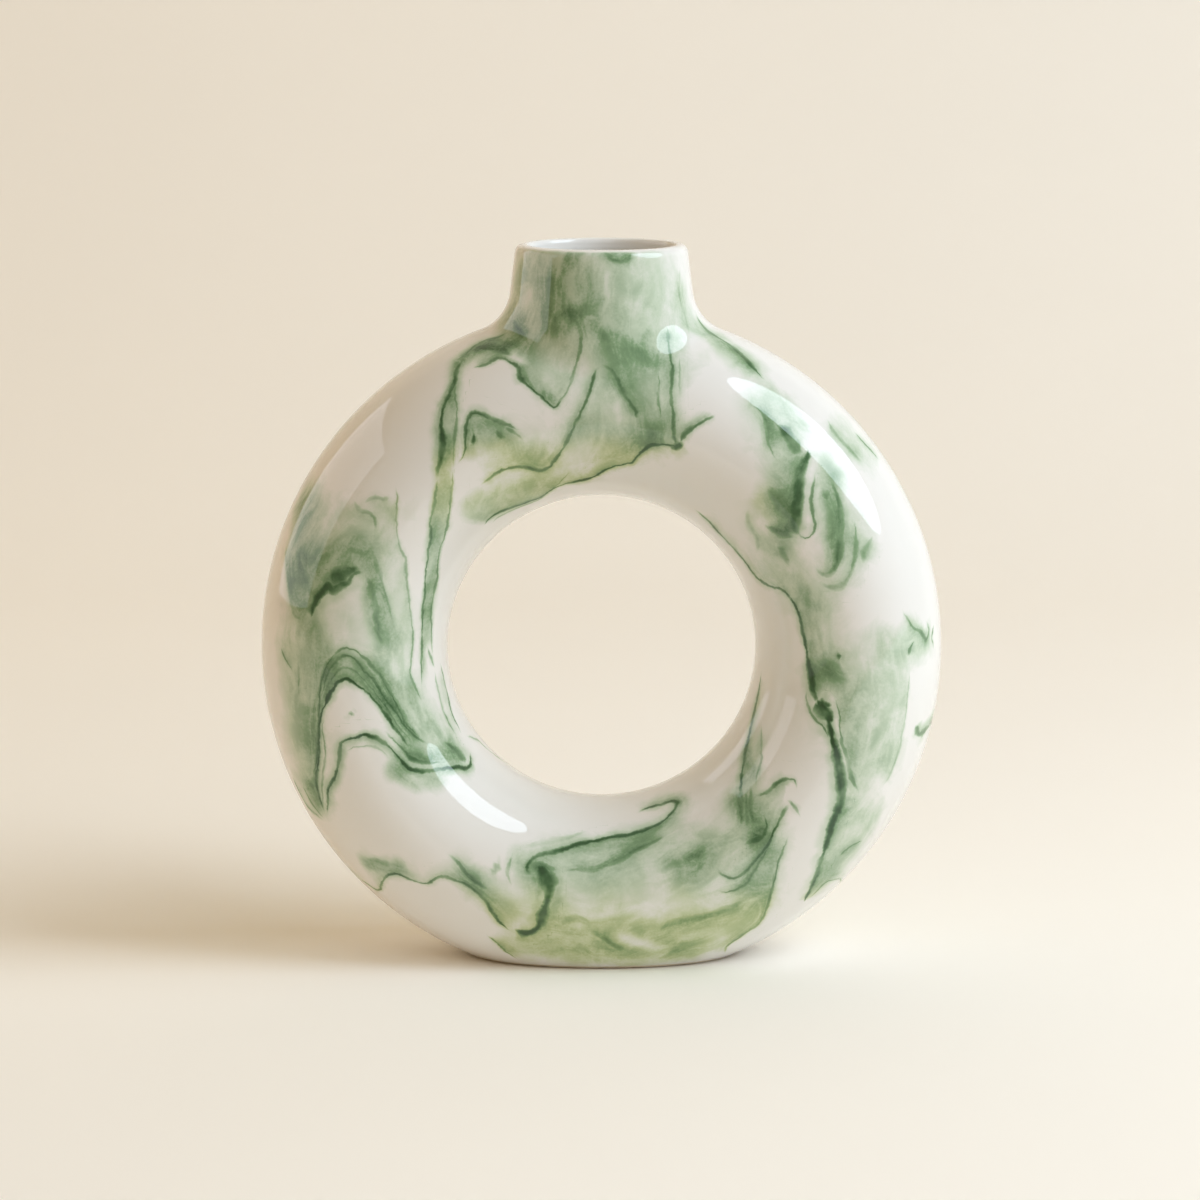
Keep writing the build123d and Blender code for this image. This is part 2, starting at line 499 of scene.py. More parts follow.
         (818, 578)), 0.7, 0.35, DRY, (0.3, 3.0)),
    Vein("right_drip_third", ((873, 534), (866, 550), (863, 565)), 0.9, 0.35, (0.2, 3.0), (0.2, 3.0), 4.0),
    Vein("right_cloud_edge", ((763, 524), (772, 530), (784, 535), (797, 538)),
         1.0, 0.42, (0.4, 3.5), DRY, 6.0),
    Vein("right_cloud_dab", ((768, 484), (776, 499), (777, 514)), 1.6, 0.3, DRY, DRY, 5.0),
    Vein("right_fringe", ((750, 506), (747, 522), (757, 540), (757, 556)), 0.9, 0.22, (0.2, 3.0)),
    Vein("right_low_cloud", ((778, 544), (784, 555), (789, 566)), 1.2, 0.35, DRY, DRY, 4.0),
    Vein("right_top_streak", ((825, 415), (832, 430), (844, 444), (857, 457), (863, 467)),
         0.8, 0.36, (0.25, 3.0), (0.25, 3.0)),
    Vein("right_top_rim", ((853, 430), (864, 443), (873, 453), (880, 462)),
         0.7, 0.55, (0.2, 3.0), (0.2, 3.0)),
    Vein("hole_right_top", ((692, 507), (708, 521), (723, 537), (735, 550), (746, 563), (757, 577),
         (770, 586), (781, 589), (789, 596), (794, 607)), 0.5, 0.75, (0.25, 4.0)),
    Vein("right_main_upper", ((785, 590), (792, 600), (799, 615), (802, 630), (806, 650), (810, 670),
         (812, 685), (815, 700)), 0.5, 0.85, (0.3, 5.0)),
    Vein("right_main_middle", ((806, 652), (810, 670), (813, 688), (818, 705)),
         0.85, 0.85, (0.2, 2.0), DRY, 4.0),
    Vein("right_knot", ((815, 701), (822, 707), (828, 715), (831, 724)), 1.9, 0.95, DRY, DRY, 1.5),
    Vein("right_knot_top", ((816, 704), (826, 704), (834, 706)), 1.0, 0.8, DRY, DRY, 2.0),
    Vein("right_main_lower", ((820, 706), (826, 716), (830, 728), (834, 745), (837, 760), (840, 773),
         (842, 790), (840, 803), (836, 816)), 1.2, 0.95, DRY, DRY, 1.5),
    Vein("right_main_foot", ((841, 794), (839, 805), (835, 817), (830, 832), (825, 848), (819, 867),
         (812, 885), (804, 902)), 0.85, 0.9, (0.3, 5.0), DRY, 2.0),
    Vein("right_main_twin", ((806, 685), (807, 704), (815, 720), (825, 730), (830, 745)),
         0.35, 0.6, (0.2, 1.5)),
    Vein("right_stripe", ((834, 694), (839, 715), (842, 740), (847, 760), (852, 780), (860, 796)),
         0.5, 0.5, (0.3, 4.0)),
    Vein("right_wash_head", ((814, 662), (826, 670), (840, 677), (852, 671)),
         1.5, 0.22, (0.2, 4.0), (0.16, 4.0)),
    Vein("right_dab", ((838, 652), (839, 656), (838, 660)), 0.7, 0.7, DRY, DRY, 1.2),
    Vein("right_wash_edge", ((910, 665), (906, 710), (900, 745), (890, 775), (880, 790)),
         0.4, 0.3, DRY, (0.2, 5.0)),
    Vein("right_zigzag", ((900, 607), (907, 617), (912, 627), (920, 632), (926, 639), (929, 630),
         (925, 617)), 0.6, 0.55, (0.2, 3.0), (0.2, 3.0)),
    Vein("right_zigzag_rim", ((934, 623), (932, 637), (934, 649)), 0.5, 0.6, DRY, DRY, 3.0),
    Vein("right_zigzag_tail", ((914, 640), (911, 648), (909, 656)), 0.7, 0.55, DRY, DRY, 2.5),
    Vein("right_rim_tick", ((937, 708), (928, 727), (919, 735), (915, 725)),
         0.9, 0.75, DRY, (0.4, 3.0), 2.0),
    Vein("right_low_line", ((839, 857), (845, 850), (855, 844), (863, 841)),
         0.5, 0.5, (0.1, 2.0), (0.15, 3.0), 3.0),
    Vein("right_low_hook", ((804, 902), (817, 891), (827, 882), (840, 879), (839, 886), (832, 896),
         (825, 903)), 0.4, 0.55, (0.2, 3.0)),
    Vein("hole_right_low", ((762, 668), (759, 688), (756, 705), (751, 725), (746, 750), (742, 773),
         (740, 800)), 0.65, 0.75, (0.2, 3.0), (0.1, 3.0)),
    Vein("hole_right_twin", ((761, 720), (762, 742), (760, 765), (754, 790)),
         0.5, 0.5, (0.1, 3.0), (0.25, 3.0)),
    Vein("low_right_hook", ((752, 796), (767, 792), (777, 783), (786, 778), (794, 780), (797, 792)),
         0.6, 0.75, DRY, (0.35, 4.0)),
    Vein("low_right_tip", ((788, 799), (794, 806), (800, 817)), 0.4, 0.55, DRY, DRY, 3.0),
    Vein("curtain_left", ((740, 786), (741, 806), (742, 828)), 0.7, 0.4, (0.2, 3.0), (0.2, 3.0), 6.0),
    Vein("curtain_right", ((750, 784), (751, 806), (753, 828)), 0.7, 0.38, (0.2, 3.0), (0.2, 3.0), 6.0),
    Vein("curtain_hem", ((764, 812), (766, 830), (757, 840), (740, 845)), 0.6, 0.55, DRY, (0.35, 4.0)),
    Vein("low_right_curl", ((716, 866), (722, 874), (732, 879), (745, 872), (757, 860), (767, 845),
         (777, 825), (785, 810), (793, 801)), 0.55, 0.8, (0.25, 3.0)),
    Vein("low_right_curl_twin", ((715, 889), (727, 892), (740, 888), (750, 878), (760, 863), (772, 841)),
         0.5, 0.65, (0.25, 3.0)),
    Vein("low_right_edge", ((790, 833), (780, 857), (774, 882), (767, 907), (760, 922), (740, 937),
         (727, 947), (724, 958)), 0.4, 0.55, DRY, (0.3, 5.0)),
    Vein("low_left_edge", ((335, 852), (350, 870), (366, 883), (379, 890), (384, 878), (396, 873),
         (410, 879), (427, 884), (441, 876), (455, 880), (470, 887), (485, 900), (492, 912), (502, 925),
         (515, 933)), 0.4, 0.75, (0.2, 3.0)),
    Vein("low_left_tuft", ((366, 859), (378, 861), (392, 866)), 0.9, 0.35, DRY, (0.25, 3.0), 3.0),
    Vein("low_left_branch", ((445, 851), (457, 862), (467, 875), (480, 884), (491, 892)),
         0.6, 0.5, (0.25, 3.0), (0.2, 3.0)),
    Vein("low_left_dab", ((492, 866), (496, 868), (501, 869)), 1.3, 0.5, DRY, DRY, 2.0),
    Vein("low_left_loop", ((513, 854), (508, 865), (507, 875), (512, 886)), 0.5, 0.4),
    Vein("low_s_stem", ((536, 864), (545, 873), (549, 886), (547, 900), (543, 914), (538, 926),
         (528, 933), (514, 929)), 1.3, 0.88, (0.15, 3.0), DRY, 3.0),
    Vein("low_s_stem_top", ((541, 870), (548, 880), (549, 892)), 1.8, 0.8, DRY, (0.15, 2.5), 2.5),
    Vein("low_s_head", ((533, 879), (527, 872), (526, 866), (531, 860), (542, 854), (560, 850),
         (577, 845), (595, 841), (610, 837), (627, 835), (642, 831), (657, 825), (669, 816), (676, 807),
         (674, 801), (662, 804), (650, 807), (634, 814)), 0.6, 0.86, (0.15, 3.0), (0.4, 4.0)),
    Vein("low_s_shoulder", ((529, 869), (540, 866), (550, 868), (557, 873)),
         1.2, 0.4, DRY, (0.2, 2.0), 3.0),
    Vein("low_mid_band", ((560, 871), (580, 869), (595, 870), (610, 864), (625, 857), (637, 850),
         (655, 842), (670, 832)), 0.7, 0.4, (0.3, 3.0)),
    Vein("low_patch", ((681, 863), (690, 854), (700, 850), (709, 847)), 1.6, 0.2, DRY, (0.35, 4.0), 4.0),
    Vein("low_patch_under", ((684, 866), (694, 868), (704, 861)), 1.4, 0.16, DRY, DRY, 4.0),
    Vein("low_bottom_edge", ((485, 934), (495, 942), (507, 952), (520, 960)), 0.45, 0.65, (0.3, 4.0)),
    Vein("low_streak_left", ((588, 926), (598, 935), (612, 944), (630, 951)), 1.0, 0.3, (0.2, 3.0)),
    Vein("low_streak_right", ((655, 934), (668, 924), (684, 919), (705, 915), (730, 907), (750, 898)),
         0.8, 0.3, DRY, (0.3, 3.0)),
    Vein("low_streak_middle", ((558, 926), (575, 918), (592, 922)), 0.9, 0.25, DRY, (0.15, 3.0)),
    Vein("low_haze", ((520, 848), (545, 842), (565, 838), (592, 830)), 0.9, 0.18, DRY, (0.15, 3.0)),
    Vein("arch_upper_inner", ((326, 690), (336, 672), (344, 667), (353, 669), (364, 680), (376, 694),
         (388, 710), (400, 727), (414, 743)), 0.3, 0.4),
    Vein("right_drip_second_spot", ((822, 490), (825, 494), (826, 501)), 1.3, 0.45, DRY, DRY, 2.0),
    Vein("curtain_middle", ((745, 789), (746, 808), (748, 830)), 0.5, 0.35, DRY, DRY, 6.0),
)

WASHES: tuple[Wash, ...] = (
    Wash("neck_front", ((590, 275), (620, 285), (640, 300), (650, 335)), 14.0, 0.28),
    Wash("neck_top_left", ((570, 272), (580, 290), (588, 305)), 6.0, 0.22),
    Wash("neck_low", ((555, 330), (600, 335), (645, 345)), 8.0, 0.25),
    Wash("neck_left", ((507, 318), (517, 330), (532, 340)), 4.5, 0.35),
    Wash("wedge", ((532, 356), (546, 374), (555, 394)), 5.0, 0.14),
    Wash("saddle_middle", ((595, 345), (612, 360), (625, 385)), 7.0, 0.28),
    Wash("saddle_right", ((650, 370), (655, 400), (662, 430)), 6.5, 0.13),
    Wash("saddle_low", ((590, 425), (620, 438), (650, 432)), 7.0, 0.3),
    Wash("inner_arch_cloud", ((478, 430), (500, 440), (520, 450), (536, 456)), 5.0, 0.36),
    Wash("shoulder_band", ((462, 360), (475, 351), (495, 347), (515, 345)), 3.0, 0.58),
    Wash("hole_top_left", ((475, 507), (495, 495), (530, 485)), 4.5, 0.28),
    Wash("lip_drop", ((603, 253), (614, 259), (628, 256)), 2.2, 0.4),
    Wash("neck_right", ((683, 290), (688, 320)), 3.5, 0.22),
    Wash("crown_left_band", ((450, 400), (449, 440), (445, 480), (439, 520), (434, 560), (430, 600),
         (427, 640)), 2.2, 0.3),
    Wash("limb_left_top", ((310, 520), (340, 515), (375, 520)), 8.0, 0.14),
    Wash("limb_left_dark", ((312, 562), (332, 556), (356, 550)), 5.5, 0.42),
    Wash("limb_left_inner", ((375, 560), (380, 600), (390, 640)), 6.0, 0.3),
    Wash("limb_left_column", ((290, 640), (298, 680), (302, 730), (308, 780)), 7.0, 0.33),
    Wash("limb_left_under", ((315, 630), (322, 650), (325, 670)), 5.0, 0.35),
    Wash("arch_band", ((322, 700), (330, 668), (345, 657), (362, 668), (382, 695), (400, 715),
         (415, 735)), 2.8, 0.22),
    Wash("arch_shoulder", ((385, 680), (405, 700), (425, 715), (445, 740)), 6.0, 0.38),
    Wash("arch_pool", ((405, 752), (430, 758), (455, 757)), 3.0, 0.4),
    Wash("arch_under", ((394, 770), (405, 780), (420, 785), (437, 781)), 2.6, 0.4),
    Wash("left_foot_pool", ((312, 790), (320, 808)), 3.0, 0.38),
    Wash("right_drip_cloud", ((775, 440), (785, 465), (788, 500)), 6.0, 0.36),
    Wash("right_drip_low", ((770, 500), (785, 520), (780, 545)), 5.0, 0.3),
    Wash("right_olive", ((770, 560), (795, 580), (815, 600)), 7.0, 0.22),
    Wash("right_drip_second", ((832, 485), (836, 520), (834, 555)), 4.5, 0.32),
    Wash("right_shoulder_low", ((755, 405), (765, 420)), 4.0, 0.26),
    Wash("right_top", ((845, 430), (865, 455)), 6.0, 0.22),
    Wash("right_mid_pale", ((812, 600), (820, 630), (830, 650)), 7.0, 0.2),
    Wash("right_mid_dark", ((830, 675), (855, 685), (880, 680)), 7.0, 0.26),
    Wash("right_mid_low", ((852, 715), (872, 735), (868, 765)), 9.0, 0.3),
    Wash("right_zigzag", ((885, 640), (905, 650), (920, 640)), 6.0, 0.26),
    Wash("right_foot", ((850, 810), (868, 820), (855, 845), (835, 870)), 6.0, 0.28),
    Wash("right_shoulder", ((715, 335), (735, 350), (752, 365)), 4.0, 0.3),
    Wash("low_cloud", ((560, 880), (600, 870), (650, 855), (690, 850)), 7.0, 0.3),
    Wash("low_right_cloud", ((690, 870), (720, 850), (745, 830)), 7.0, 0.3),
    Wash("low_front", ((560, 915), (600, 925), (650, 930), (700, 920), (740, 905)), 9.0, 0.3),
    Wash("low_base", ((530, 945), (600, 952), (690, 950)), 6.0, 0.36),
    Wash("low_left_cloud", ((470, 880), (490, 895), (505, 910)), 4.5, 0.3),
    Wash("low_left_patch", ((368, 864), (385, 868), (398, 868)), 3.2, 0.45),
    Wash("low_right_dark", ((740, 800), (750, 815), (755, 830)), 5.0, 0.35),
    Wash("hole_right", ((745, 755), (752, 775)), 3.0, 0.32),
    Wash("low_s_cloud", ((520, 860), (535, 880)), 4.0, 0.28),
    Wash("low_right_edge", ((770, 830), (765, 860), (755, 885)), 5.0, 0.28),
    Wash("neck_olive", ((546, 266), (549, 300), (545, 330)), 9.0, 0.36),
    Wash("neck_olive_core", ((564, 268), (566, 300), (560, 328)), 4.0, 0.2),
    Wash("limb_left_edge", ((304, 500), (298, 540), (298, 580), (303, 606)), 6.0, 0.3),
    Wash("limb_left_rim", ((308, 505), (314, 525)), 7.0, 0.2),
    Wash("neck_edge", ((521, 268), (519, 295), (517, 314)), 5.5, 0.3),
    Wash("under_blob", ((345, 612), (365, 627), (385, 642)), 6.0, 0.18),
    Wash("low_middle", ((620, 885), (660, 878), (700, 888)), 8.0, 0.06),
    Wash("right_drip_veil", ((862, 525), (858, 555), (848, 580)), 4.5, 0.16),
    Wash("right_band_upper", ((770, 392), (785, 405), (800, 425)), 3.5, 0.3),
    Wash("right_band_lower", ((826, 462), (834, 474)), 3.0, 0.25),
)

LIGHT_PLACES: tuple[Wash, ...] = (
    Wash("low_right_gap", ((655, 912), (690, 905), (725, 908)), 3.2, 0.4),
    Wash("low_left_gap", ((562, 888), (575, 895), (590, 907)), 4.0, 0.55),
    Wash("low_base_gap", ((622, 938), (640, 943), (655, 948)), 2.4, 0.6),
    Wash("shoulder_gap", ((514, 357), (520, 361)), 1.4, 0.7),
    Wash("wedge_gap", ((540, 342), (553, 346)), 4.0, 0.35),
    Wash("right_stripe_gap", ((832, 700), (837, 722), (841, 745), (846, 767)), 1.0, 0.6),
    Wash("right_drip_gap", ((812, 460), (808, 480), (806, 500), (806, 520)), 1.3, 0.8),
    Wash("saddle_gap", ((588, 352), (580, 380), (570, 400), (556, 425)), 3.0, 0.28),
    Wash("limb_left_gap", ((352, 588), (358, 610), (366, 640)), 2.8, 0.5),
    Wash("limb_left_white", ((338, 604), (334, 625)), 4.0, 0.4),
)

# Strokes round the outside of the ring, which the front view doesn't show. Their points are angles in
# degrees: around the ring from the bottom, to the right first, and over the tube from its front.
RIM_VEINS: tuple[Vein, ...] = (
    Vein("rim_right_high", ((143, 97), (137, 104), (129, 107), (124, 116), (117, 119)), 0.5, 0.6, (0.3, 4.0)),
    Vein("rim_right_fold", ((121, 92), (114, 99), (107, 105), (98, 99), (91, 95), (84, 98)),
         0.6, 0.7, DRY, (0.35, 4.5)),
    Vein("rim_right_twin", ((117, 97), (108, 109), (99, 104), (92, 100)), 0.4, 0.5, (0.2, 3.0)),
    Vein("rim_right_drop", ((100, 115), (92, 108), (84, 110), (76, 101), (69, 97), (63, 100)),
         0.7, 0.65, (0.3, 4.0)),
    Vein("rim_right_curl", ((69, 92), (62, 99), (57, 109), (60, 118), (67, 116)), 0.5, 0.6, (0.25, 3.0)),
    Vein("rim_right_link", ((78, 82), (77, 88), (73, 94), (68, 97)), 0.7, 0.65, DRY, (0.3, 3.0)),
    Vein("rim_left_high", ((-141, 98), (-135, 107), (-129, 110), (-123, 119)), 0.6, 0.6, DRY, (0.35, 4.0)),
    Vein("rim_left_fold", ((-122, 93), (-114, 101), (-107, 98), (-99, 107), (-91, 103), (-85, 108)),
         0.6, 0.7, (0.35, 4.5)),
    Vein("rim_left_twin", ((-113, 106), (-105, 104), (-97, 113), (-90, 110)), 0.4, 0.45, DRY, (0.2, 3.0)),
    Vein("rim_left_drop", ((-86, 94), (-78, 103), (-71, 100), (-63, 109), (-56, 106)), 0.6, 0.65, (0.3, 4.0)),
)

RIM_WASHES: tuple[Wash, ...] = (
    Wash("rim_right_upper", ((130, 99), (117, 104), (104, 107)), 8.0, 0.3),
    Wash("rim_right_middle", ((96, 98), (88, 104), (80, 105)), 6.0, 0.2),
    Wash("rim_right_lower", ((82, 101), (72, 105), (62, 104)), 8.0, 0.28),
    Wash("rim_left_upper", ((-130, 101), (-116, 105), (-102, 103)), 8.0, 0.3),
    Wash("rim_left_lower", ((-84, 101), (-73, 106), (-60, 105)), 8.0, 0.28),
)


@dataclass
class Stroke:
    """A vein or wash laid on the surface: its points, its normals and its running length, in millimetres."""

    source: Vein | Wash
    points: np.ndarray
    normals: np.ndarray
    run: np.ndarray = field(init=False)

    def __post_init__(self) -> None:
        """Measures the running length."""
        step = np.linalg.norm(np.diff(self.points, axis=0), axis=1)
        self.run = np.concatenate([[0.0], np.cumsum(step)])

    def nearest(self, p: np.ndarray, reach: float) -> tuple[np.ndarray, ...]:
        """Finds the points near this stroke and how they lie to it.

        Args:
            p: All points.
            reach: How far to look.

        Returns:
            The indices of the near points, their signed distances, positive to the right, the lengths
            along, and the offsets from the stroke drawn on past its ends.
        """
        low, high = self.points.min(0) - reach, self.points.max(0) + reach
        near = np.nonzero(((p > low) & (p < high)).all(1))[0]
        start, along = self.points[:-1], np.diff(self.points, axis=0)
        square = np.maximum((along * along).sum(1), TINY)
        signed, length, offset = np.zeros(len(near)), np.zeros(len(near)), np.zeros(len(near))
        for block in range(0, len(near), BLOCK_ROWS):
            part = slice(block, block + BLOCK_ROWS)
            away = p[near[part]][:, None, :] - start[None]
            share = np.clip((away * along[None]).sum(2) / square, 0.0, 1.0)
            gap = away - share[..., None] * along[None]
            gap_square = (gap * gap).sum(2)
            pick = gap_square.argmin(1)
            row = np.arange(len(pick))
            aside = (np.cross(along[pick], self.normals[pick]) * gap[row, pick]).sum(1)
            step = np.sqrt(square[pick])
            offset[part] = aside / step
            signed[part] = np.where(aside >= 0, 1.0, -1.0) * np.sqrt(gap_square[row, pick])
            length[part] = self.run[pick] + share[row, pick] * step
        keep = np.abs(signed) < reach
        return near[keep], signed[keep], length[keep], offset[keep]


@dataclass
class Marbling:
    """The marbled glaze: strokes drawn over the front, turned copies over the rear, and more round the rim.

    Lengths are in millimetres. Each vein is kept in one of a few channels, clear of its neighbours there.
    """

    form: VaseForm
    viewpoint: Viewpoint
    channels: int = 8
    channel_room: float = 11.0
    far_apart: float = 99.0
    line_reach: float = 5.0
    flow_reach: float = 24.0
    flow_spread: float = 7.0
    flow_core: float = 4.0
    follow_reach: float = 3.5
    fade_share: float = 0.6
    side_blur: float = 0.6
    tip_share: float = 0.4
    tip_width: float = 0.35
    tip_fade: float = 0.5
    no_vein: Place = (9.0, 0.3, 0.0)
    rear_turn: float = radians(152.0)
    neck_from: float = 170.0
    lowest: float = 0.8
    over_lip: float = 1.0
    fewest_points: int = 3
    rounds: int = 4
    strokes: list[Stroke] = field(default_factory=list)
    channel_of: list[int] = field(default_factory=list)

    def smooth_path(self, path: Points, spacing: float = 3.0) -> np.ndarray:
        """Runs a smooth curve through given points.

        Args:
            path: The points, in pixels or degrees.
            spacing: The wanted step.

        Returns:
            Points along the curve.
        """
        knots = np.array(path, float)
        ends = np.vstack([2 * knots[0] - knots[1], knots, 2 * knots[-1] - knots[-2]])
        curve = []
        for i in range(len(knots) - 1):
            a, b, c, d = ends[i:i + 4]
            count = max(int(np.linalg.norm(c - b) / spacing), 1)
            t = (np.arange(count) / count)[:, None]
            square, cube = 2 * a - 5 * b + 4 * c - d, 3 * b - a - 3 * c + d
            curve.append(0.5 * (2 * b + (c - a) * t + square * t**2 + cube * t**3))
        return np.vstack([*curve, knots[-1:]])

    def turned(self, points: np.ndarray) -> np.ndarray:
        """Carries a stroke of the front round to the rear.

        Args:
            points: The stroke's points.

        Returns:
            The points turned in the ring, or about the neck if all of them lie on the neck.
        """
        turn_cos, turn_sin = cos(self.rear_turn), sin(self.rear_turn)
        x, y, z = points[:, 0], -points[:, 1], points[:, 2] - self.form.ring_height
        height = z * turn_cos - x * turn_sin + self.form.ring_height
        ring = np.stack([x * turn_cos + z * turn_sin, y, height], 1)
        neck = points * np.array((-1.0, -1.0, 1.0))
        return np.where((points[:, 2] > self.neck_from).all(), neck, ring)

    def wrapped(self, path: Points) -> np.ndarray:
        """Carries a stroke of the rim onto the ring.

        Args:
            path: Angles around the ring and over its tube, in degrees.

        Returns:
            Points on the ring.
        """
        around, over = np.radians(self.smooth_path(path, 1.0)).T
        reach = self.form.ring_radius + self.form.tube_radial * np.sin(over)
        depth = -self.form.tube_axial * np.cos(over)
        height = self.form.ring_height - reach * np.cos(around)
        return np.stack([reach * np.sin(around), depth, height], axis=1)

    def lay_stroke(self, source: Vein | Wash, points: np.ndarray) -> None:
        """Lays one stroke on the vase's outside."""
        points = self.form.settle(self.form.outside, points, self.rounds)
        self.strokes.append(Stroke(source, points, self.form.slope(self.form.outside, points)))

    def lay(self) -> None:
        """Lays every stroke on the front, rear and rim, and gives each vein its channel."""
        for source in (*VEINS, *WASHES, *LIGHT_PLACES):
            front = self.viewpoint.cast(self.form, self.smooth_path(source.path))
            for side in Side:
                points = front if side is Side.FRONT else self.turned(front)
                height = points[:, 2]
                points = points[(height > self.lowest) & (height < self.form.height + self.over_lip)]
                if len(points) >= self.fewest_points:
                    self.lay_stroke(source, points)
        for source in (*RIM_VEINS, *RIM_WASHES):
            self.lay_stroke(source, self.wrapped(source.path))
        taken: list[list[np.ndarray]] = [[] for _ in range(self.channels)]
        for stroke in self.strokes:
            self.channel_of.append(self.take_channel(stroke, taken))

    def take_channel(self, stroke: Stroke, taken: list[list[np.ndarray]]) -> int:
        """Finds a channel in which a vein is clear of its neighbours, or as far from them as can be.

        Args:
            stroke: The vein, or a wash, which needs no channel.
            taken: The points of the veins in each channel, which the vein's are added to.

        Returns:
            The channel's number, or -1 for a wash.
        """
        if isinstance(stroke.source, Wash):
            return -1
        gaps = []
        for used in taken:
            apart = [np.linalg.norm(other[:, None] - stroke.points[None], axis=2).min() for other in used]
            gaps.append(min(apart, default=self.far_apart))
        free = [i for i, gap in enumerate(gaps) if gap > self.channel_room]
        pick = free[0] if free else int(np.argmax(gaps))
        taken[pick].append(stroke.points)
        return pick

    def within(self, gap: np.ndarray, reach: float) -> np.ndarray:
        """A weight that fades out towards the end of a reach."""
        return 1.0 - ease(self.fade_share * reach, reach, gap)

    def keep_line(
        self, store: np.ndarray, source: Vein, rows: np.ndarray, signed: np.ndarray, fade: np.ndarray
    ) -> None:
        """Notes a vein in its channel, where it is nearer than what the channel holds.

        Args:
            store: The channel: signed distance, half width and strength.
            source: The vein.
            rows: The points near it.
            signed: Their signed distances.
            fade: How far the vein has swelled from its tips there.
        """
        closer = np.abs(signed) < np.minimum(np.abs(store[rows, 0]), self.line_reach)
        rows, signed, fade = rows[closer], signed[closer], fade[closer]
        strength = ease(0.0, self.tip_fade, fade) * self.within(np.abs(signed), self.line_reach)
        store[rows, 0] = signed
        store[rows, 1] = source.half_width * (self.tip_width + (1.0 - self.tip_width) * fade)
        store[rows, 2] = source.dark * strength

    def paint(self, p: np.ndarray, painted: np.ndarray) -> dict[str, np.ndarray]:
        """Works out the glaze at points of the surface.

        Args:
            p: The points.
            painted: How far each point lies on the glazed outside.

        Returns:
            The wash density, the flow that streaks follow beside the veins, how close the veins are, and for
            each channel the signed distance, half width and strength of the nearest vein.
        """
        clear, lift, apart = np.ones(len(p)), np.ones(len(p)), np.ones(len(p))
        weight, flow = np.full(len(p), TINY), np.zeros(len(p))
        veins = [np.tile(self.no_vein, (len(p), 1)) for _ in range(self.channels)]
        for turn, (stroke, channel) in enumerate(zip(self.strokes, self.channel_of)):
            source = stroke.source
            rows, signed, along, offset = stroke.nearest(p, self.flow_reach)
            gap = np.abs(signed)
            pull = self.within(gap, self.flow_reach) / (signed * signed + self.flow_core)
            weight[rows] += pull
            flow[rows] += pull * (offset + self.flow_spread * ((turn * GOLDEN_SHARE) % 1.0))
            if isinstance(source, Wash):
                thinned = lift if source in LIGHT_PLACES else clear
                thinned[rows] *= 1.0 - source.density * np.exp(-((signed / source.reach) ** 2))
                continue
            total = stroke.run[-1]
            tip = min(source.tip, self.tip_share * total)
            fade = ease(0.0, tip, along) * ease(0.0, tip, total - along)
            apart[rows] *= 1.0 - fade * np.exp(-((gap / self.follow_reach) ** 2))
            for sign, (density, spread) in ((-1.0, source.left), (1.0, source.right)):
                beside = ease(-self.side_blur, self.side_blur, sign * signed)
                clear[rows] *= 1.0 - density * fade * np.exp(-((gap / spread) ** 2)) * beside
            self.keep_line(veins[channel], source, rows, signed, fade)
        result = {"wash": (1.0 - clear) * lift * painted, "flow": flow / weight, "beside": 1.0 - apart}
        for i, store in enumerate(veins):
            store[:, 2] *= painted
            result[f"vein_{i}"] = store
        return result


@dataclass(frozen=True)
class Clouds:
    """A cloud texture's settings."""

    scale: float
    detail: float
    rough: float
    twist: float = 0.0


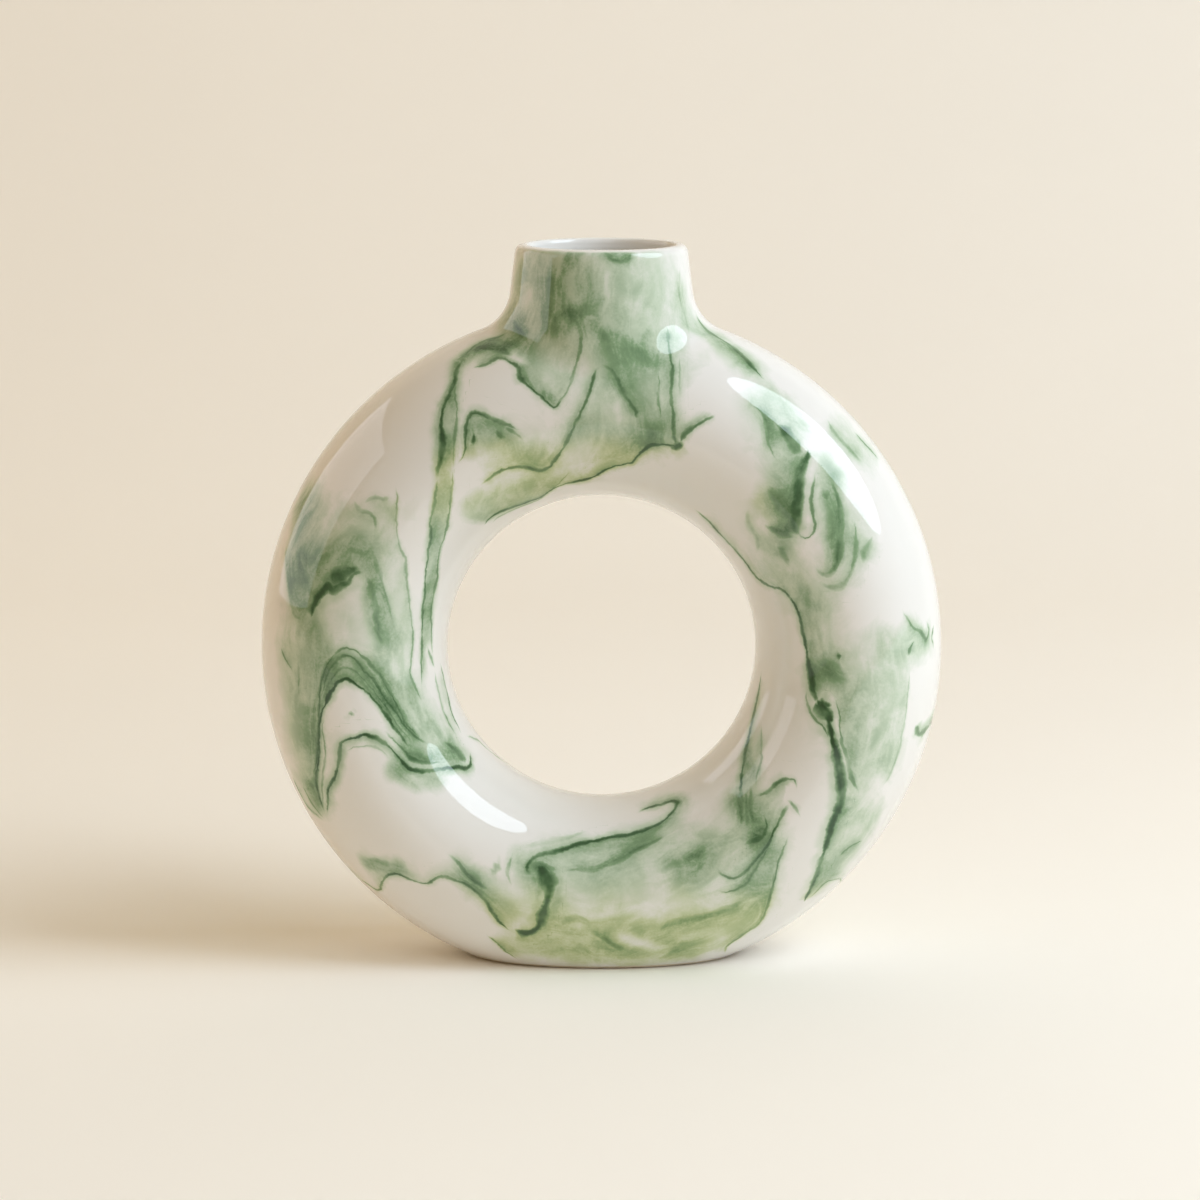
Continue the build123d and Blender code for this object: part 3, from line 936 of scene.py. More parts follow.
class NodeSketch:
    """Adds, fills and links the nodes of one tree."""

    FIRST_COLOUR = 6
    SECOND_COLOUR = 7
    MIXED_COLOUR = 2

    def __init__(self, tree: bpy.types.NodeTree) -> None:
        """Keeps the tree."""
        self.tree = tree

    def add(self, kind: str, settings: dict[str, object] | None = None, **values: object) -> bpy.types.Node:
        """Adds one node.

        Args:
            kind: The node's type name.
            settings: Properties of the node.
            values: Inputs by name with underscores for spaces, each a value or a socket to link.

        Returns:
            The node.
        """
        node = self.tree.nodes.new(kind)
        for name, value in (settings or {}).items():
            setattr(node, name, value)
        for name, value in values.items():
            self.feed(node.inputs[name.replace("_", " ")], value)
        return node

    def feed(self, socket: Socket, value: object) -> None:
        """Links a socket into an input, or sets the input's value.

        Args:
            socket: The input.
            value: A socket or a plain value.
        """
        if isinstance(value, bpy.types.NodeSocket):
            self.tree.links.new(value, socket)
        else:
            socket.default_value = value

    def math(self, operation: str, *values: object, clamp: bool = False) -> Socket:
        """Adds a Math node.

        Args:
            operation: What it does.
            values: One to three numbers or sockets.
            clamp: Whether the result stays between 0 and 1.

        Returns:
            The result.
        """
        node = self.add("ShaderNodeMath", {"operation": operation, "use_clamp": clamp})
        for socket, value in zip(node.inputs, values):
            self.feed(socket, value)
        return node.outputs[0]

    def plus(self, first: object, second: object, clamp: bool = False) -> Socket:
        """The sum of two values."""
        return self.math("ADD", first, second, clamp=clamp)

    def minus(self, first: object, second: object, clamp: bool = False) -> Socket:
        """The first value less the second."""
        return self.math("SUBTRACT", first, second, clamp=clamp)

    def times(self, first: object, second: object) -> Socket:
        """The product of two values."""
        return self.math("MULTIPLY", first, second)

    def length(self, first: object, second: object) -> Socket:
        """Length of a two-part vector."""
        return self.math("SQRT", self.plus(self.times(first, first), self.times(second, second)))

    def remap(self, value: Socket, old: Span, new: Span) -> Socket:
        """Maps a value smoothly from one range to another."""
        node = self.add(
            "ShaderNodeMapRange", {"interpolation_type": "SMOOTHSTEP"}, Value=value,
            From_Min=old[0], From_Max=old[1], To_Min=new[0], To_Max=new[1],
        )
        return node.outputs[0]

    def fade_in(self, value: Socket, span: Span) -> Socket:
        """A smooth step up over a range."""
        return self.remap(value, span, (0.0, 1.0))

    def fade_out(self, value: Socket, span: Span) -> Socket:
        """A smooth step down over a range."""
        return self.remap(value, span, (1.0, 0.0))

    def noise(self, vector: Socket, clouds: Clouds) -> bpy.types.Node:
        """Adds a cloud texture."""
        return self.add(
            "ShaderNodeTexNoise", Vector=vector, Scale=clouds.scale, Detail=clouds.detail,
            Roughness=clouds.rough, Distortion=clouds.twist,
        )

    def cloud(self, vector: Socket, clouds: Clouds) -> Socket:
        """A cloud texture's value."""
        return self.noise(vector, clouds).outputs[0]

    def scaled(self, vector: Socket, scale: float) -> Socket:
        """A vector times a number."""
        return self.add("ShaderNodeVectorMath", {"operation": "SCALE"}, Vector=vector, Scale=scale).outputs[0]

    def attribute(self, name: str) -> bpy.types.Node:
        """Reads one of the piece's attributes."""
        return self.add("ShaderNodeAttribute", {"attribute_name": name})

    def blend(self, share: Socket, first: Socket, second: Socket) -> Socket:
        """Mixes two numbers."""
        return self.add("ShaderNodeMix", {"data_type": "FLOAT"}, Factor=share, A=first, B=second).outputs[0]

    def tint(self, share: Socket, first: object, second: object, mode: str = "MIX") -> Socket:
        """Mixes two colours.

        Args:
            share: How much of the second.
            first: A colour or a socket.
            second: A colour or a socket.
            mode: The way that they mix.

        Returns:
            The mixed colour.
        """
        node = self.add("ShaderNodeMix", {"data_type": "RGBA", "blend_type": mode}, Factor=share)
        self.feed(node.inputs[self.FIRST_COLOUR], first)
        self.feed(node.inputs[self.SECOND_COLOUR], second)
        return node.outputs[self.MIXED_COLOUR]

    def group(self, tree: bpy.types.NodeTree, **values: object) -> bpy.types.Node:
        """Adds a node group."""
        return self.add("ShaderNodeGroup", {"node_tree": tree}, **values)


@dataclass
class FormTree:
    """The Geometry Nodes tree that grows the clay or its liner from the vase's sizes, as a closed skin."""

    form: VaseForm
    first_cell: float = 1.2
    margin: float = 4.0

    def sizes(self, layer: Layer, cell: float) -> dict[str, float]:
        """The tree's inputs for one layer and one size of quads."""
        form = self.form
        return {
            "Ring Radius": form.ring_radius, "Tube Radial": form.tube_radial, "Tube Axial": form.tube_axial,
            "Ring Height": form.ring_height, "Height": form.height, "Neck Radius": form.neck_radius,
            "Neck Taper": form.neck_taper, "Mouth Radius": form.mouth_radius, "Wall": form.wall,
            "Floor": form.floor, "Blend": form.neck_blend, "Liner": float(layer.value), "Cell": cell,
        }

    def distance(self, sketch: NodeSketch, size: dict[str, Socket]) -> Socket:
        """Draws the distance to the chosen layer.

        Args:
            sketch: The tree's sketch.
            size: The tree's input sockets.

        Returns:
            The distance, below zero inside the layer.
        """
        position = sketch.add("GeometryNodeInputPosition").outputs[0]
        x, y, z = sketch.add("ShaderNodeSeparateXYZ", Vector=position).outputs[:3]
        rise = sketch.minus(z, size["Ring Height"])
        ring = sketch.minus(sketch.length(x, rise), size["Ring Radius"])
        around = sketch.length(x, y)
        below_neck = sketch.minus(sketch.plus(size["Ring Height"], size["Ring Radius"]), z)

        def tube(inset: object) -> Socket:
            """Distance to the tube, drawn in by an inset."""
            radial = sketch.minus(size["Tube Radial"], inset)
            axial = sketch.minus(size["Tube Axial"], inset)
            level = sketch.length(sketch.math("DIVIDE", ring, radial), sketch.math("DIVIDE", y, axial))
            return sketch.times(sketch.minus(level, 1.0), radial)

        flare = sketch.times(sketch.minus(size["Height"], z), size["Neck Taper"])
        neck = sketch.minus(around, sketch.plus(size["Neck Radius"], flare))
        neck = sketch.math("MAXIMUM", neck, below_neck)
        bore = sketch.math("MAXIMUM", sketch.minus(around, size["Mouth Radius"]), below_neck)
        outside = sketch.math("SMOOTH_MIN", tube(0.0), neck, size["Blend"])
        outside = sketch.math("MAXIMUM", outside, sketch.times(z, -1.0))
        outside = sketch.math("MAXIMUM", outside, sketch.minus(z, size["Height"]))
        inside = sketch.math("SMOOTH_MIN", tube(size["Wall"]), bore, size["Blend"])
        inside = sketch.math("MAXIMUM", inside, sketch.minus(size["Floor"], z))
        clay = sketch.math("MAXIMUM", outside, sketch.times(inside, -1.0))
        return sketch.blend(size["Liner"], clay, inside)

    def build(self) -> bpy.types.NodeTree:
        """Builds the tree.

        Returns:
            The node group, with one named input for each size.
        """
        tree = bpy.data.node_groups.new("vase_form", "GeometryNodeTree")
        for name, value in self.sizes(Layer.CLAY, self.first_cell).items():
            socket = tree.interface.new_socket(name, in_out="INPUT", socket_type="NodeSocketFloat")
            socket.default_value = value
        tree.interface.new_socket("Finish", in_out="INPUT", socket_type="NodeSocketMaterial")
        tree.interface.new_socket("Geometry", in_out="OUTPUT", socket_type="NodeSocketGeometry")
        sketch = NodeSketch(tree)
        size = tree.nodes.new("NodeGroupInput").outputs
        density = sketch.times(self.distance(sketch, size), -1.0)
        half_x = sketch.plus(sketch.plus(size["Ring Radius"], size["Tube Radial"]), self.margin)
        half_y = sketch.plus(size["Tube Axial"], self.margin)
        top = sketch.plus(size["Height"], self.margin)
        left, front = sketch.times(half_x, -1.0), sketch.times(half_y, -1.0)
        low = sketch.add("ShaderNodeCombineXYZ", X=left, Y=front, Z=-self.margin)
        high = sketch.add("ShaderNodeCombineXYZ", X=half_x, Y=half_y, Z=top)
        spans = (sketch.times(half_x, 2.0), sketch.times(half_y, 2.0), sketch.plus(top, self.margin))
        counts = [sketch.math("ROUND", sketch.math("DIVIDE", span, size["Cell"])) for span in spans]
        cube = sketch.add(
            "GeometryNodeVolumeCube", Density=density, Background=-self.margin, Min=low.outputs[0],
            Max=high.outputs[0], Resolution_X=counts[0], Resolution_Y=counts[1], Resolution_Z=counts[2],
        )
        skin = sketch.add(
            "GeometryNodeVolumeToMesh", {"resolution_mode": "GRID"}, Volume=cube.outputs[0],
            Threshold=0.0, Adaptivity=0.0,
        )
        real = sketch.add("GeometryNodeRealizeInstances", Geometry=skin.outputs[0])
        dressed = sketch.add("GeometryNodeSetMaterial", Geometry=real.outputs[0], Material=size["Finish"])
        sketch.feed(tree.nodes.new("NodeGroupOutput").inputs[0], dressed.outputs[0])
        return tree

    def grow(self, layer: Layer, cell: float, finish: bpy.types.Material) -> bpy.types.Mesh:
        """Grows one layer as a plain mesh.

        Args:
            layer: The clay or the liner.
            cell: The size of the quads, in millimetres.
            finish: The material that the tree sets.

        Returns:
            The mesh, in millimetres, lying on the exact surface.
        """
        tree = bpy.data.node_groups.get("vase_form") or self.build()
        holder = bpy.data.objects.new("vase_holder", bpy.data.meshes.new("vase_holder"))
        bpy.context.scene.collection.objects.link(holder)
        modifier = holder.modifiers.new("form", "NODES")
        modifier.node_group = tree
        values = self.sizes(layer, cell)
        for item in tree.interface.items_tree:
            if item.in_out == "INPUT":
                modifier[item.identifier] = values.get(item.name, finish)
        ready = holder.evaluated_get(bpy.context.evaluated_depsgraph_get())
        mesh = bpy.data.meshes.new_from_object(ready)
        bpy.data.objects.remove(holder)
        rule = self.form.clay if layer is Layer.CLAY else self.form.lining
        place_points(mesh, self.form.settle(rule, points_of(mesh)))
        return mesh


def points_of(mesh: bpy.types.Mesh) -> np.ndarray:
    """Reads a mesh's points.

    Args:
        mesh: The mesh.

    Returns:
        The points, one row each.
    """
    flat = np.zeros(len(mesh.vertices) * 3)
    mesh.vertices.foreach_get("co", flat)
    return flat.reshape(-1, 3)


def place_points(mesh: bpy.types.Mesh, points: np.ndarray) -> None:
    """Moves a mesh's points."""
    mesh.vertices.foreach_set("co", points.ravel())
    mesh.update()


def smooth_faces(mesh: bpy.types.Mesh, finish: bpy.types.Material) -> None:
    """Makes a mesh's faces smooth and gives them one finish."""
    mesh.polygons.foreach_set("use_smooth", np.ones(len(mesh.polygons), dtype=bool))
    mesh.materials.clear()
    mesh.materials.append(finish)


@dataclass(frozen=True)
class Cut:
    """A plane that a piece is cut at: a point, and the direction of what is taken away."""

    point: Place
    away: Place

    def make(self, sheet: bmesh.types.BMesh) -> list[bmesh.types.BMEdge]:
        """Takes away what lies past the plane.

        Args:
            sheet: The mesh to cut.

        Returns:
            The edges along the cut.
        """
        everything = sheet.verts[:] + sheet.edges[:] + sheet.faces[:]
        result = bmesh.ops.bisect_plane(
            sheet, geom=everything, dist=CUT_SLACK, plane_co=self.point, plane_no=self.away, clear_outer=True
        )
        return [part for part in result["geom_cut"] if isinstance(part, bmesh.types.BMEdge)]


@dataclass(frozen=True)
class PieceSpec:
    """One piece of the glazed vase: its name, the nodes it stands for and the planes it is cut at."""

    name: str
    nodes: tuple[str, ...]
    slot: str
    cuts: tuple[Cut, ...]


@dataclass(frozen=True)
class Palette:
    """The glaze's colours from bare white ground to the darkest vein, and a painted warm bounce shade that
    turns it olive.
    """

    ground: Colour = (0.84, 0.822, 0.79, 1.0)
    pale: Colour = (0.55, 0.64, 0.50, 1.0)
    middle: Colour = (0.235, 0.365, 0.21, 1.0)
    deep: Colour = (0.072, 0.155, 0.072, 1.0)
    darkest: Colour = (0.02, 0.052, 0.025, 1.0)
    # Painted shade: the warm cast of light bounced off the floor, multiplied into the marks.
    bounce_shade: Colour = (1.05, 0.98, 0.72, 1.0)

    def stops(self) -> tuple[tuple[float, Colour], ...]:
        """The colours between the ground and the darkest vein, with their shares of pigment."""
        return ((0.24, self.pale), (0.52, self.middle), (0.8, self.deep))


@dataclass(frozen=True)
class GroupDraft:
    """A shader group that is being drawn: its tree, a sketch of it, its input sockets and its output node."""

    tree: bpy.types.NodeTree
    sketch: NodeSketch
    given: dict[str, Socket]
    out: bpy.types.Node


class GlazeGroups:
    """Shader node groups that the glazed finishes share."""

    WAVES = Clouds(38.0, 2.0, 0.4)
    PEEL = Clouds(420.0, 2.0, 0.5)
    PEEL_HEIGHT = 0.035
    PEEL_GLOSS = ((0.35, 0.75), (0.0, 0.03))
    SPECK_SCALE = 85.0
    SPECK_SIZE = (0.035, 0.075)
    SPECK_RARITY = (0.955, 0.96)
    SPECK_DEPTH = 0.05
    LINE_CORE = (0.2, 1.5)
    LINE_HALO = (0.5, 3.6)

    @staticmethod
    def start(name: str, inputs: dict[str, str], outputs: tuple[str, ...]) -> GroupDraft:
        """Makes an empty shader group with its sockets.

        Args:
            name: The group's name.
            inputs: Socket names to socket types.
            outputs: The names of the values that it puts out.

        Returns:
            The group, ready to be drawn.
        """
        tree = bpy.data.node_groups.new(name, "ShaderNodeTree")
        for label, kind in inputs.items():
            tree.interface.new_socket(label, in_out="INPUT", socket_type=kind)
        for label in outputs:
            tree.interface.new_socket(label, in_out="OUTPUT", socket_type="NodeSocketFloat")
        given = tree.nodes.new("NodeGroupInput").outputs
        return GroupDraft(tree, NodeSketch(tree), given, tree.nodes.new("NodeGroupOutput"))

    @classmethod
    def vein_line(cls) -> bpy.types.NodeTree:
        """A group that turns a vein channel into a crisp line.

        Returns:
            The group: signed distance, half width and strength in, line density out.
        """
        values = dict.fromkeys(("Wander", "Swell", "Halo", "Before"), "NodeSocketFloat")
        draft = cls.start("vein_line", {"Channel": "NodeSocketVector", **values}, ("Density",))
        sketch, given = draft.sketch, draft.given
        channel = sketch.add("ShaderNodeSeparateXYZ", Vector=given["Channel"])
        signed, half_width, strength = channel.outputs[:3]
        gap = sketch.math("ABSOLUTE", sketch.plus(signed, given["Wander"]))
        level = sketch.math("DIVIDE", gap, sketch.times(half_width, given["Swell"]))
        core = sketch.fade_out(level, cls.LINE_CORE)
        halo = sketch.times(sketch.fade_out(level, cls.LINE_HALO), given["Halo"])
        line = sketch.times(sketch.math("MAXIMUM", core, halo), strength)
        sketch.feed(draft.out.inputs[0], sketch.math("MAXIMUM", line, given["Before"]))
        return draft.tree

    @classmethod
    def glaze_skin(cls) -> bpy.types.NodeTree:
        """A group for the fired skin: slight waves, pinholes and uneven gloss.

        Returns:
            The group: waves, specks and gloss out.
        """
        made = bpy.data.node_groups.get("glaze_skin")
        if made:
            return made
        inputs = {"Vector": "NodeSocketVector", "Gloss": "NodeSocketFloat"}
        draft = cls.start("glaze_skin", inputs, ("Height", "Specks", "Roughness"))
        sketch, given = draft.sketch, draft.given
        waves = sketch.cloud(given["Vector"], cls.WAVES)
        peel = sketch.cloud(given["Vector"], cls.PEEL)
        dots = sketch.add("ShaderNodeTexVoronoi", Vector=given["Vector"], Scale=cls.SPECK_SCALE)
        rare = sketch.add("ShaderNodeSeparateXYZ", Vector=dots.outputs["Color"]).outputs[0]
        small = sketch.fade_out(dots.outputs["Distance"], cls.SPECK_SIZE)
        speck = sketch.times(small, sketch.fade_in(rare, cls.SPECK_RARITY))
        height = sketch.plus(waves, sketch.times(peel, cls.PEEL_HEIGHT))
        height = sketch.minus(height, sketch.times(speck, cls.SPECK_DEPTH))
        rough = sketch.plus(given["Gloss"], sketch.remap(peel, *cls.PEEL_GLOSS))
        for socket, value in zip(draft.out.inputs, (height, speck, rough)):
            sketch.feed(socket, value)
        return draft.tree


@dataclass(frozen=True)
class MaterialDraft:
    """A material that is being made: its nodes' sketch, its shader and the place on the piece."""

    material: bpy.types.Material
    sketch: NodeSketch
    shader: bpy.types.Node
    place: Socket

    @classmethod
    def start(cls, name: str) -> "MaterialDraft":
        """Makes an empty material.

        Args:
            name: The material's name.

        Returns:
            The material, ready to be drawn.
        """
        material = bpy.data.materials.new(name)
        material.use_nodes = True
        nodes = material.node_tree.nodes
        place = nodes.new("ShaderNodeTexCoord").outputs["Object"]
        return cls(material, NodeSketch(material.node_tree), nodes["Principled BSDF"], place)

    def skin(self, gloss: float, strength: float, depth: float) -> bpy.types.Node:
        """Gives the material the fired skin's bumps.

        Args:
            gloss: The least roughness.
            strength: How strong the bumps are.
            depth: How deep they are, in metres.

        Returns:
            The skin, with its specks and its roughness.
        """
        skin = self.sketch.group(GlazeGroups.glaze_skin(), Vector=self.place, Gloss=gloss)
        bump = self.sketch.add(
            "ShaderNodeBump", Height=skin.outputs["Height"], Strength=strength, Distance=depth
        )
        self.sketch.feed(self.shader.inputs["Normal"], bump.outputs[0])
        return skin


@dataclass(frozen=True)
class MarbledGlaze:
    """Green marbling in a white glaze, glossy all over, and bare clay under the foot; lengths in metres."""

    palette: Palette = Palette()
    channels: int = 8
    ring_height: float = 0.0874
    ring_radius: float = 0.069
    crown: Span = (radians(135.0), radians(152.0))
    stir: float = 0.010
    stir_clouds: Clouds = Clouds(55.0, 2.0, 0.5)
    mottle: Clouds = Clouds(160.0, 4.0, 0.6, 0.6)
    patches: Clouds = Clouds(60.0, 5.0, 0.55, 1.0)
    grit: Clouds = Clouds(1500.0, 2.0, 0.6)
    grain_shares: tuple[float, float, float] = (0.46, 0.42, 0.12)
    grain_span: tuple[Span, Span] = ((0.38, 0.62), (0.66, 1.32))
    drawn_clouds: Clouds = Clouds(1.0, 3.0, 0.55, 0.6)
    drawn_along: float = 75.0
    drawn_across: float = 240.0
    streak_clouds: Clouds = Clouds(1.0, 3.0, 0.6)
    streak_along: float = 70.0
    streak_across: float = 0.8
    streak_bend: float = 1.2
    edge_clouds: Clouds = Clouds(90.0, 4.0, 0.6, 0.5)
    edge_span: tuple[Span, Span] = ((0.35, 0.65), (0.0, 0.1))
    slow_wander: Clouds = Clouds(170.0, 3.0, 0.55, 0.4)
    slow_sway: float = 1.5
    fine_wander: Clouds = Clouds(620.0, 2.0, 0.55)
    fine_sway: float = 0.7
    swell_clouds: Clouds = Clouds(150.0, 3.0, 0.5)
    swell_span: tuple[Span, Span] = ((0.32, 0.68), (0.6, 1.7))
    fading_clouds: Clouds = Clouds(110.0, 3.0, 0.55)
    fading_span: tuple[Span, Span] = ((0.32, 0.62), (0.55, 1.0))
    halo: float = 0.24
    # Where the painted warm bounce shade falls: low on the vase and on the hole's downward face.
    bounce_shade_low: Span = (0.020, 0.034)
    bounce_shade_top: Span = (0.148, 0.158)
    bounce_shade_rise: Span = (0.034, 0.052)
    bounce_shade_radius: Span = (0.062, 0.074)
    bounce_shade_pigment: Span = (0.0, 0.35)
    speck_share: float = 0.6
    bare_colour: Colour = (0.70, 0.62, 0.50, 1.0)
    bare_shade: float = 0.8
    bare_patches: Span = (0.35, 0.7)
    bare_edge: Span = (0.0008, 0.0010)
    bare_waver: float = 0.0006
    bare_rough: float = 0.6
    gloss: float = 0.02
    bump_strength: float = 0.07
    bump_depth: float = 0.0012
    ior: float = 1.56

    def build(self) -> bpy.types.Material:
        """Builds the material, which reads the piece's vein and wash attributes."""
        return MarbleDrawing(self, MaterialDraft.start("marbled_glaze")).finished()


class MarbleDrawing:
    """Draws the nodes of the marbled glaze."""

    def __init__(self, glaze: MarbledGlaze, draft: MaterialDraft) -> None:
        """Starts with a cloud, and with places that are pushed about a little, so that streaks look poured.

        Args:
            glaze: The glaze's settings.
            draft: The material that is being made.
        """
        sketch = draft.sketch
        self.glaze, self.draft, self.sketch = glaze, draft, sketch
        self.mottle = self.cloud(glaze.mottle)
        stir = sketch.noise(draft.place, glaze.stir_clouds).outputs["Color"]
        moved = sketch.add("ShaderNodeVectorMath", {"operation": "ADD"})
        for socket, vector in zip(moved.inputs, (draft.place, sketch.scaled(stir, glaze.stir))):
            sketch.feed(socket, vector)
        self.x, self.y, self.z = sketch.add("ShaderNodeSeparateXYZ", Vector=moved.outputs[0]).outputs[:3]
        self.rise = sketch.minus(self.z, glaze.ring_height + 0.5 * glaze.stir)
        self.radius = sketch.length(self.x, self.rise)

    def cloud(self, clouds: Clouds) -> Socket:
        """A cloud texture over the piece."""
        return self.sketch.cloud(self.draft.place, clouds)

    def drawn(self, along: Socket, first: Socket, second: Socket) -> Socket:
        """A texture drawn out along one direction, fine across the other two.

        Args:
            along: The place along the direction.
            first: A place across it.
            second: The other place across it.

        Returns:
            The texture's value.
        """
        glaze, sketch = self.glaze, self.sketch
        across = [sketch.times(part, glaze.drawn_across) for part in (first, second)]
        slow = sketch.times(along, glaze.drawn_along)
        vector = sketch.add("ShaderNodeCombineXYZ", X=slow, Y=across[0], Z=across[1])
        return sketch.cloud(vector.outputs[0], glaze.drawn_clouds)

    def streaks(self) -> Socket:
        """A texture drawn out along the veins.

        Returns:
            The texture's value.
        """
        glaze, sketch = self.glaze, self.sketch
        flow = sketch.attribute("flow").outputs["Fac"]
        bent = sketch.plus(flow, sketch.times(self.mottle, glaze.streak_bend))
        node = sketch.noise(sketch.scaled(self.draft.place, glaze.streak_along), glaze.streak_clouds)
        node.noise_dimensions = "4D"
        sketch.feed(node.inputs["W"], sketch.times(bent, glaze.streak_across))
        return node.outputs[0]

    def washes(self) -> Socket:
        """The washes, streaked along the veins, along the ring and down the neck, with ragged edges.

        Returns:
            Their density.
        """
        glaze, sketch = self.glaze, self.sketch
        angle = sketch.math("ARCTAN2", self.x, sketch.times(self.rise, -1.0))
        ringwise = self.drawn(sketch.times(angle, glaze.ring_radius), self.radius, self.y)
        upright = self.drawn(self.z, self.x, self.y)
        away = sketch.blend(sketch.fade_in(sketch.math("ABSOLUTE", angle), glaze.crown), ringwise, upright)
        streak = sketch.blend(sketch.attribute("beside").outputs["Fac"], away, self.streaks())
        parts = zip((streak, self.cloud(glaze.patches), self.cloud(glaze.grit)), glaze.grain_shares)
        coarse, patchy, gritty = [sketch.times(part, share) for part, share in parts]
        grain = sketch.plus(sketch.plus(coarse, patchy), gritty)
        wash = sketch.attribute("wash").outputs["Fac"]
        dense = sketch.times(wash, sketch.remap(grain, *glaze.grain_span))
        return sketch.minus(dense, sketch.remap(self.cloud(glaze.edge_clouds), *glaze.edge_span), clamp=True)

    def lines(self) -> Socket:
        """The veins' lines, which wander, swell and fade a little.

        Returns:
            Their density.
        """
        glaze, sketch = self.glaze, self.sketch
        slow = sketch.times(sketch.minus(self.cloud(glaze.slow_wander), 0.5), glaze.slow_sway)
        fine = sketch.times(sketch.minus(self.cloud(glaze.fine_wander), 0.5), glaze.fine_sway)
        wander = sketch.plus(slow, fine)
        swell = sketch.remap(self.cloud(glaze.swell_clouds), *glaze.swell_span)
        group = GlazeGroups.vein_line()
        line = 0.0
        for i in range(glaze.channels):
            vein = sketch.attribute(f"vein_{i}").outputs["Vector"]
            node = sketch.group(group, Channel=vein, Wander=wander, Swell=swell, Halo=glaze.halo, Before=line)
            line = node.outputs[0]
        return sketch.times(line, sketch.remap(self.cloud(glaze.fading_clouds), *glaze.fading_span))

    def coloured(self, pigment: Socket) -> Socket:
        """The glaze's colour, with a painted warm bounce shade that turns it olive over the hole and low on
        the vase.

        Args:
            pigment: How much pigment there is.

        Returns:
            The colour.
        """
        glaze, sketch = self.glaze, self.sketch
        ramp = sketch.add("ShaderNodeValToRGB", Fac=pigment)
        stops = ramp.color_ramp.elements
        stops[0].color = glaze.palette.ground
        stops[1].color = glaze.palette.darkest
        for share, colour in glaze.palette.stops():
            stops.new(share).color = colour
        # Painted shade: a warm olive cast where the surface faces the floor's bounce, over the hole and near
        # the foot.
        below_crown = sketch.fade_out(self.z, glaze.bounce_shade_top)
        shade_over_hole = sketch.times(below_crown, sketch.fade_in(self.rise, glaze.bounce_shade_rise))
        shade_over_hole = sketch.times(shade_over_hole, sketch.fade_out(self.radius, glaze.bounce_shade_radius))
        bounce_shade = sketch.math("MAXIMUM", sketch.fade_out(self.z, glaze.bounce_shade_low), shade_over_hole)
        bounce_shade = sketch.times(bounce_shade, sketch.fade_in(pigment, glaze.bounce_shade_pigment))
        return sketch.tint(bounce_shade, ramp.outputs[0], glaze.palette.bounce_shade, "MULTIPLY")

    def bare(self) -> Socket:
        """Where the clay is bare: under the foot, up to a wavering line.

        Returns:
            The share of bare clay.
        """
        sketch = self.sketch
        height = sketch.add("ShaderNodeSeparateXYZ", Vector=self.draft.place).outputs[2]
        line = sketch.plus(height, sketch.times(sketch.minus(self.mottle, 0.5), self.glaze.bare_waver))
        return sketch.fade_out(line, self.glaze.bare_edge)

    def finished(self) -> bpy.types.Material:
        """Draws all the parts together.

        Returns:
            The material.
        """
        glaze, sketch, inputs = self.glaze, self.sketch, self.draft.shader.inputs
        unmarked = sketch.times(sketch.minus(1.0, self.washes()), sketch.minus(1.0, self.lines()))
        colour = self.coloured(sketch.minus(1.0, unmarked))
        skin = self.draft.skin(glaze.gloss, glaze.bump_strength, glaze.bump_depth)
        specks = sketch.times(skin.outputs["Specks"], glaze.speck_share)
        shade = tuple(glaze.bare_shade * part for part in glaze.bare_colour[:3]) + (1.0,)
        clay = sketch.tint(sketch.fade_in(self.mottle, glaze.bare_patches), glaze.bare_colour, shade)
        bare = self.bare()
        rough = sketch.plus(skin.outputs["Roughness"], sketch.times(bare, glaze.bare_rough), clamp=True)
        specked = sketch.tint(specks, colour, glaze.palette.deep)
        sketch.feed(inputs["Base Color"], sketch.tint(bare, specked, clay))
        sketch.feed(inputs["Roughness"], rough)
        inputs["IOR"].default_value = glaze.ior
        return self.draft.material


@dataclass(frozen=True)
class LinerGlaze:
    """Plain white glaze on the inside, a little uneven and warmer where it pools."""

    thin: Colour = (0.90, 0.89, 0.865, 1.0)
    pooled: Colour = (0.86, 0.85, 0.81, 1.0)
    pools: Clouds = Clouds(55.0, 4.0, 0.55, 0.8)
    pool_span: Span = (0.35, 0.65)
    gloss: float = 0.1
    bump_strength: float = 0.15
    bump_depth: float = 0.0012

    def build(self) -> bpy.types.Material:
        """Builds the material.

        Returns:
            The liner glaze.
        """
        draft = MaterialDraft.start("liner_glaze")
        sketch, inputs = draft.sketch, draft.shader.inputs
        pool = sketch.fade_in(sketch.cloud(draft.place, self.pools), self.pool_span)
        skin = draft.skin(self.gloss, self.bump_strength, self.bump_depth)
        sketch.feed(inputs["Base Color"], sketch.tint(pool, self.thin, self.pooled))
        sketch.feed(inputs["Roughness"], skin.outputs["Roughness"])
        return draft.material


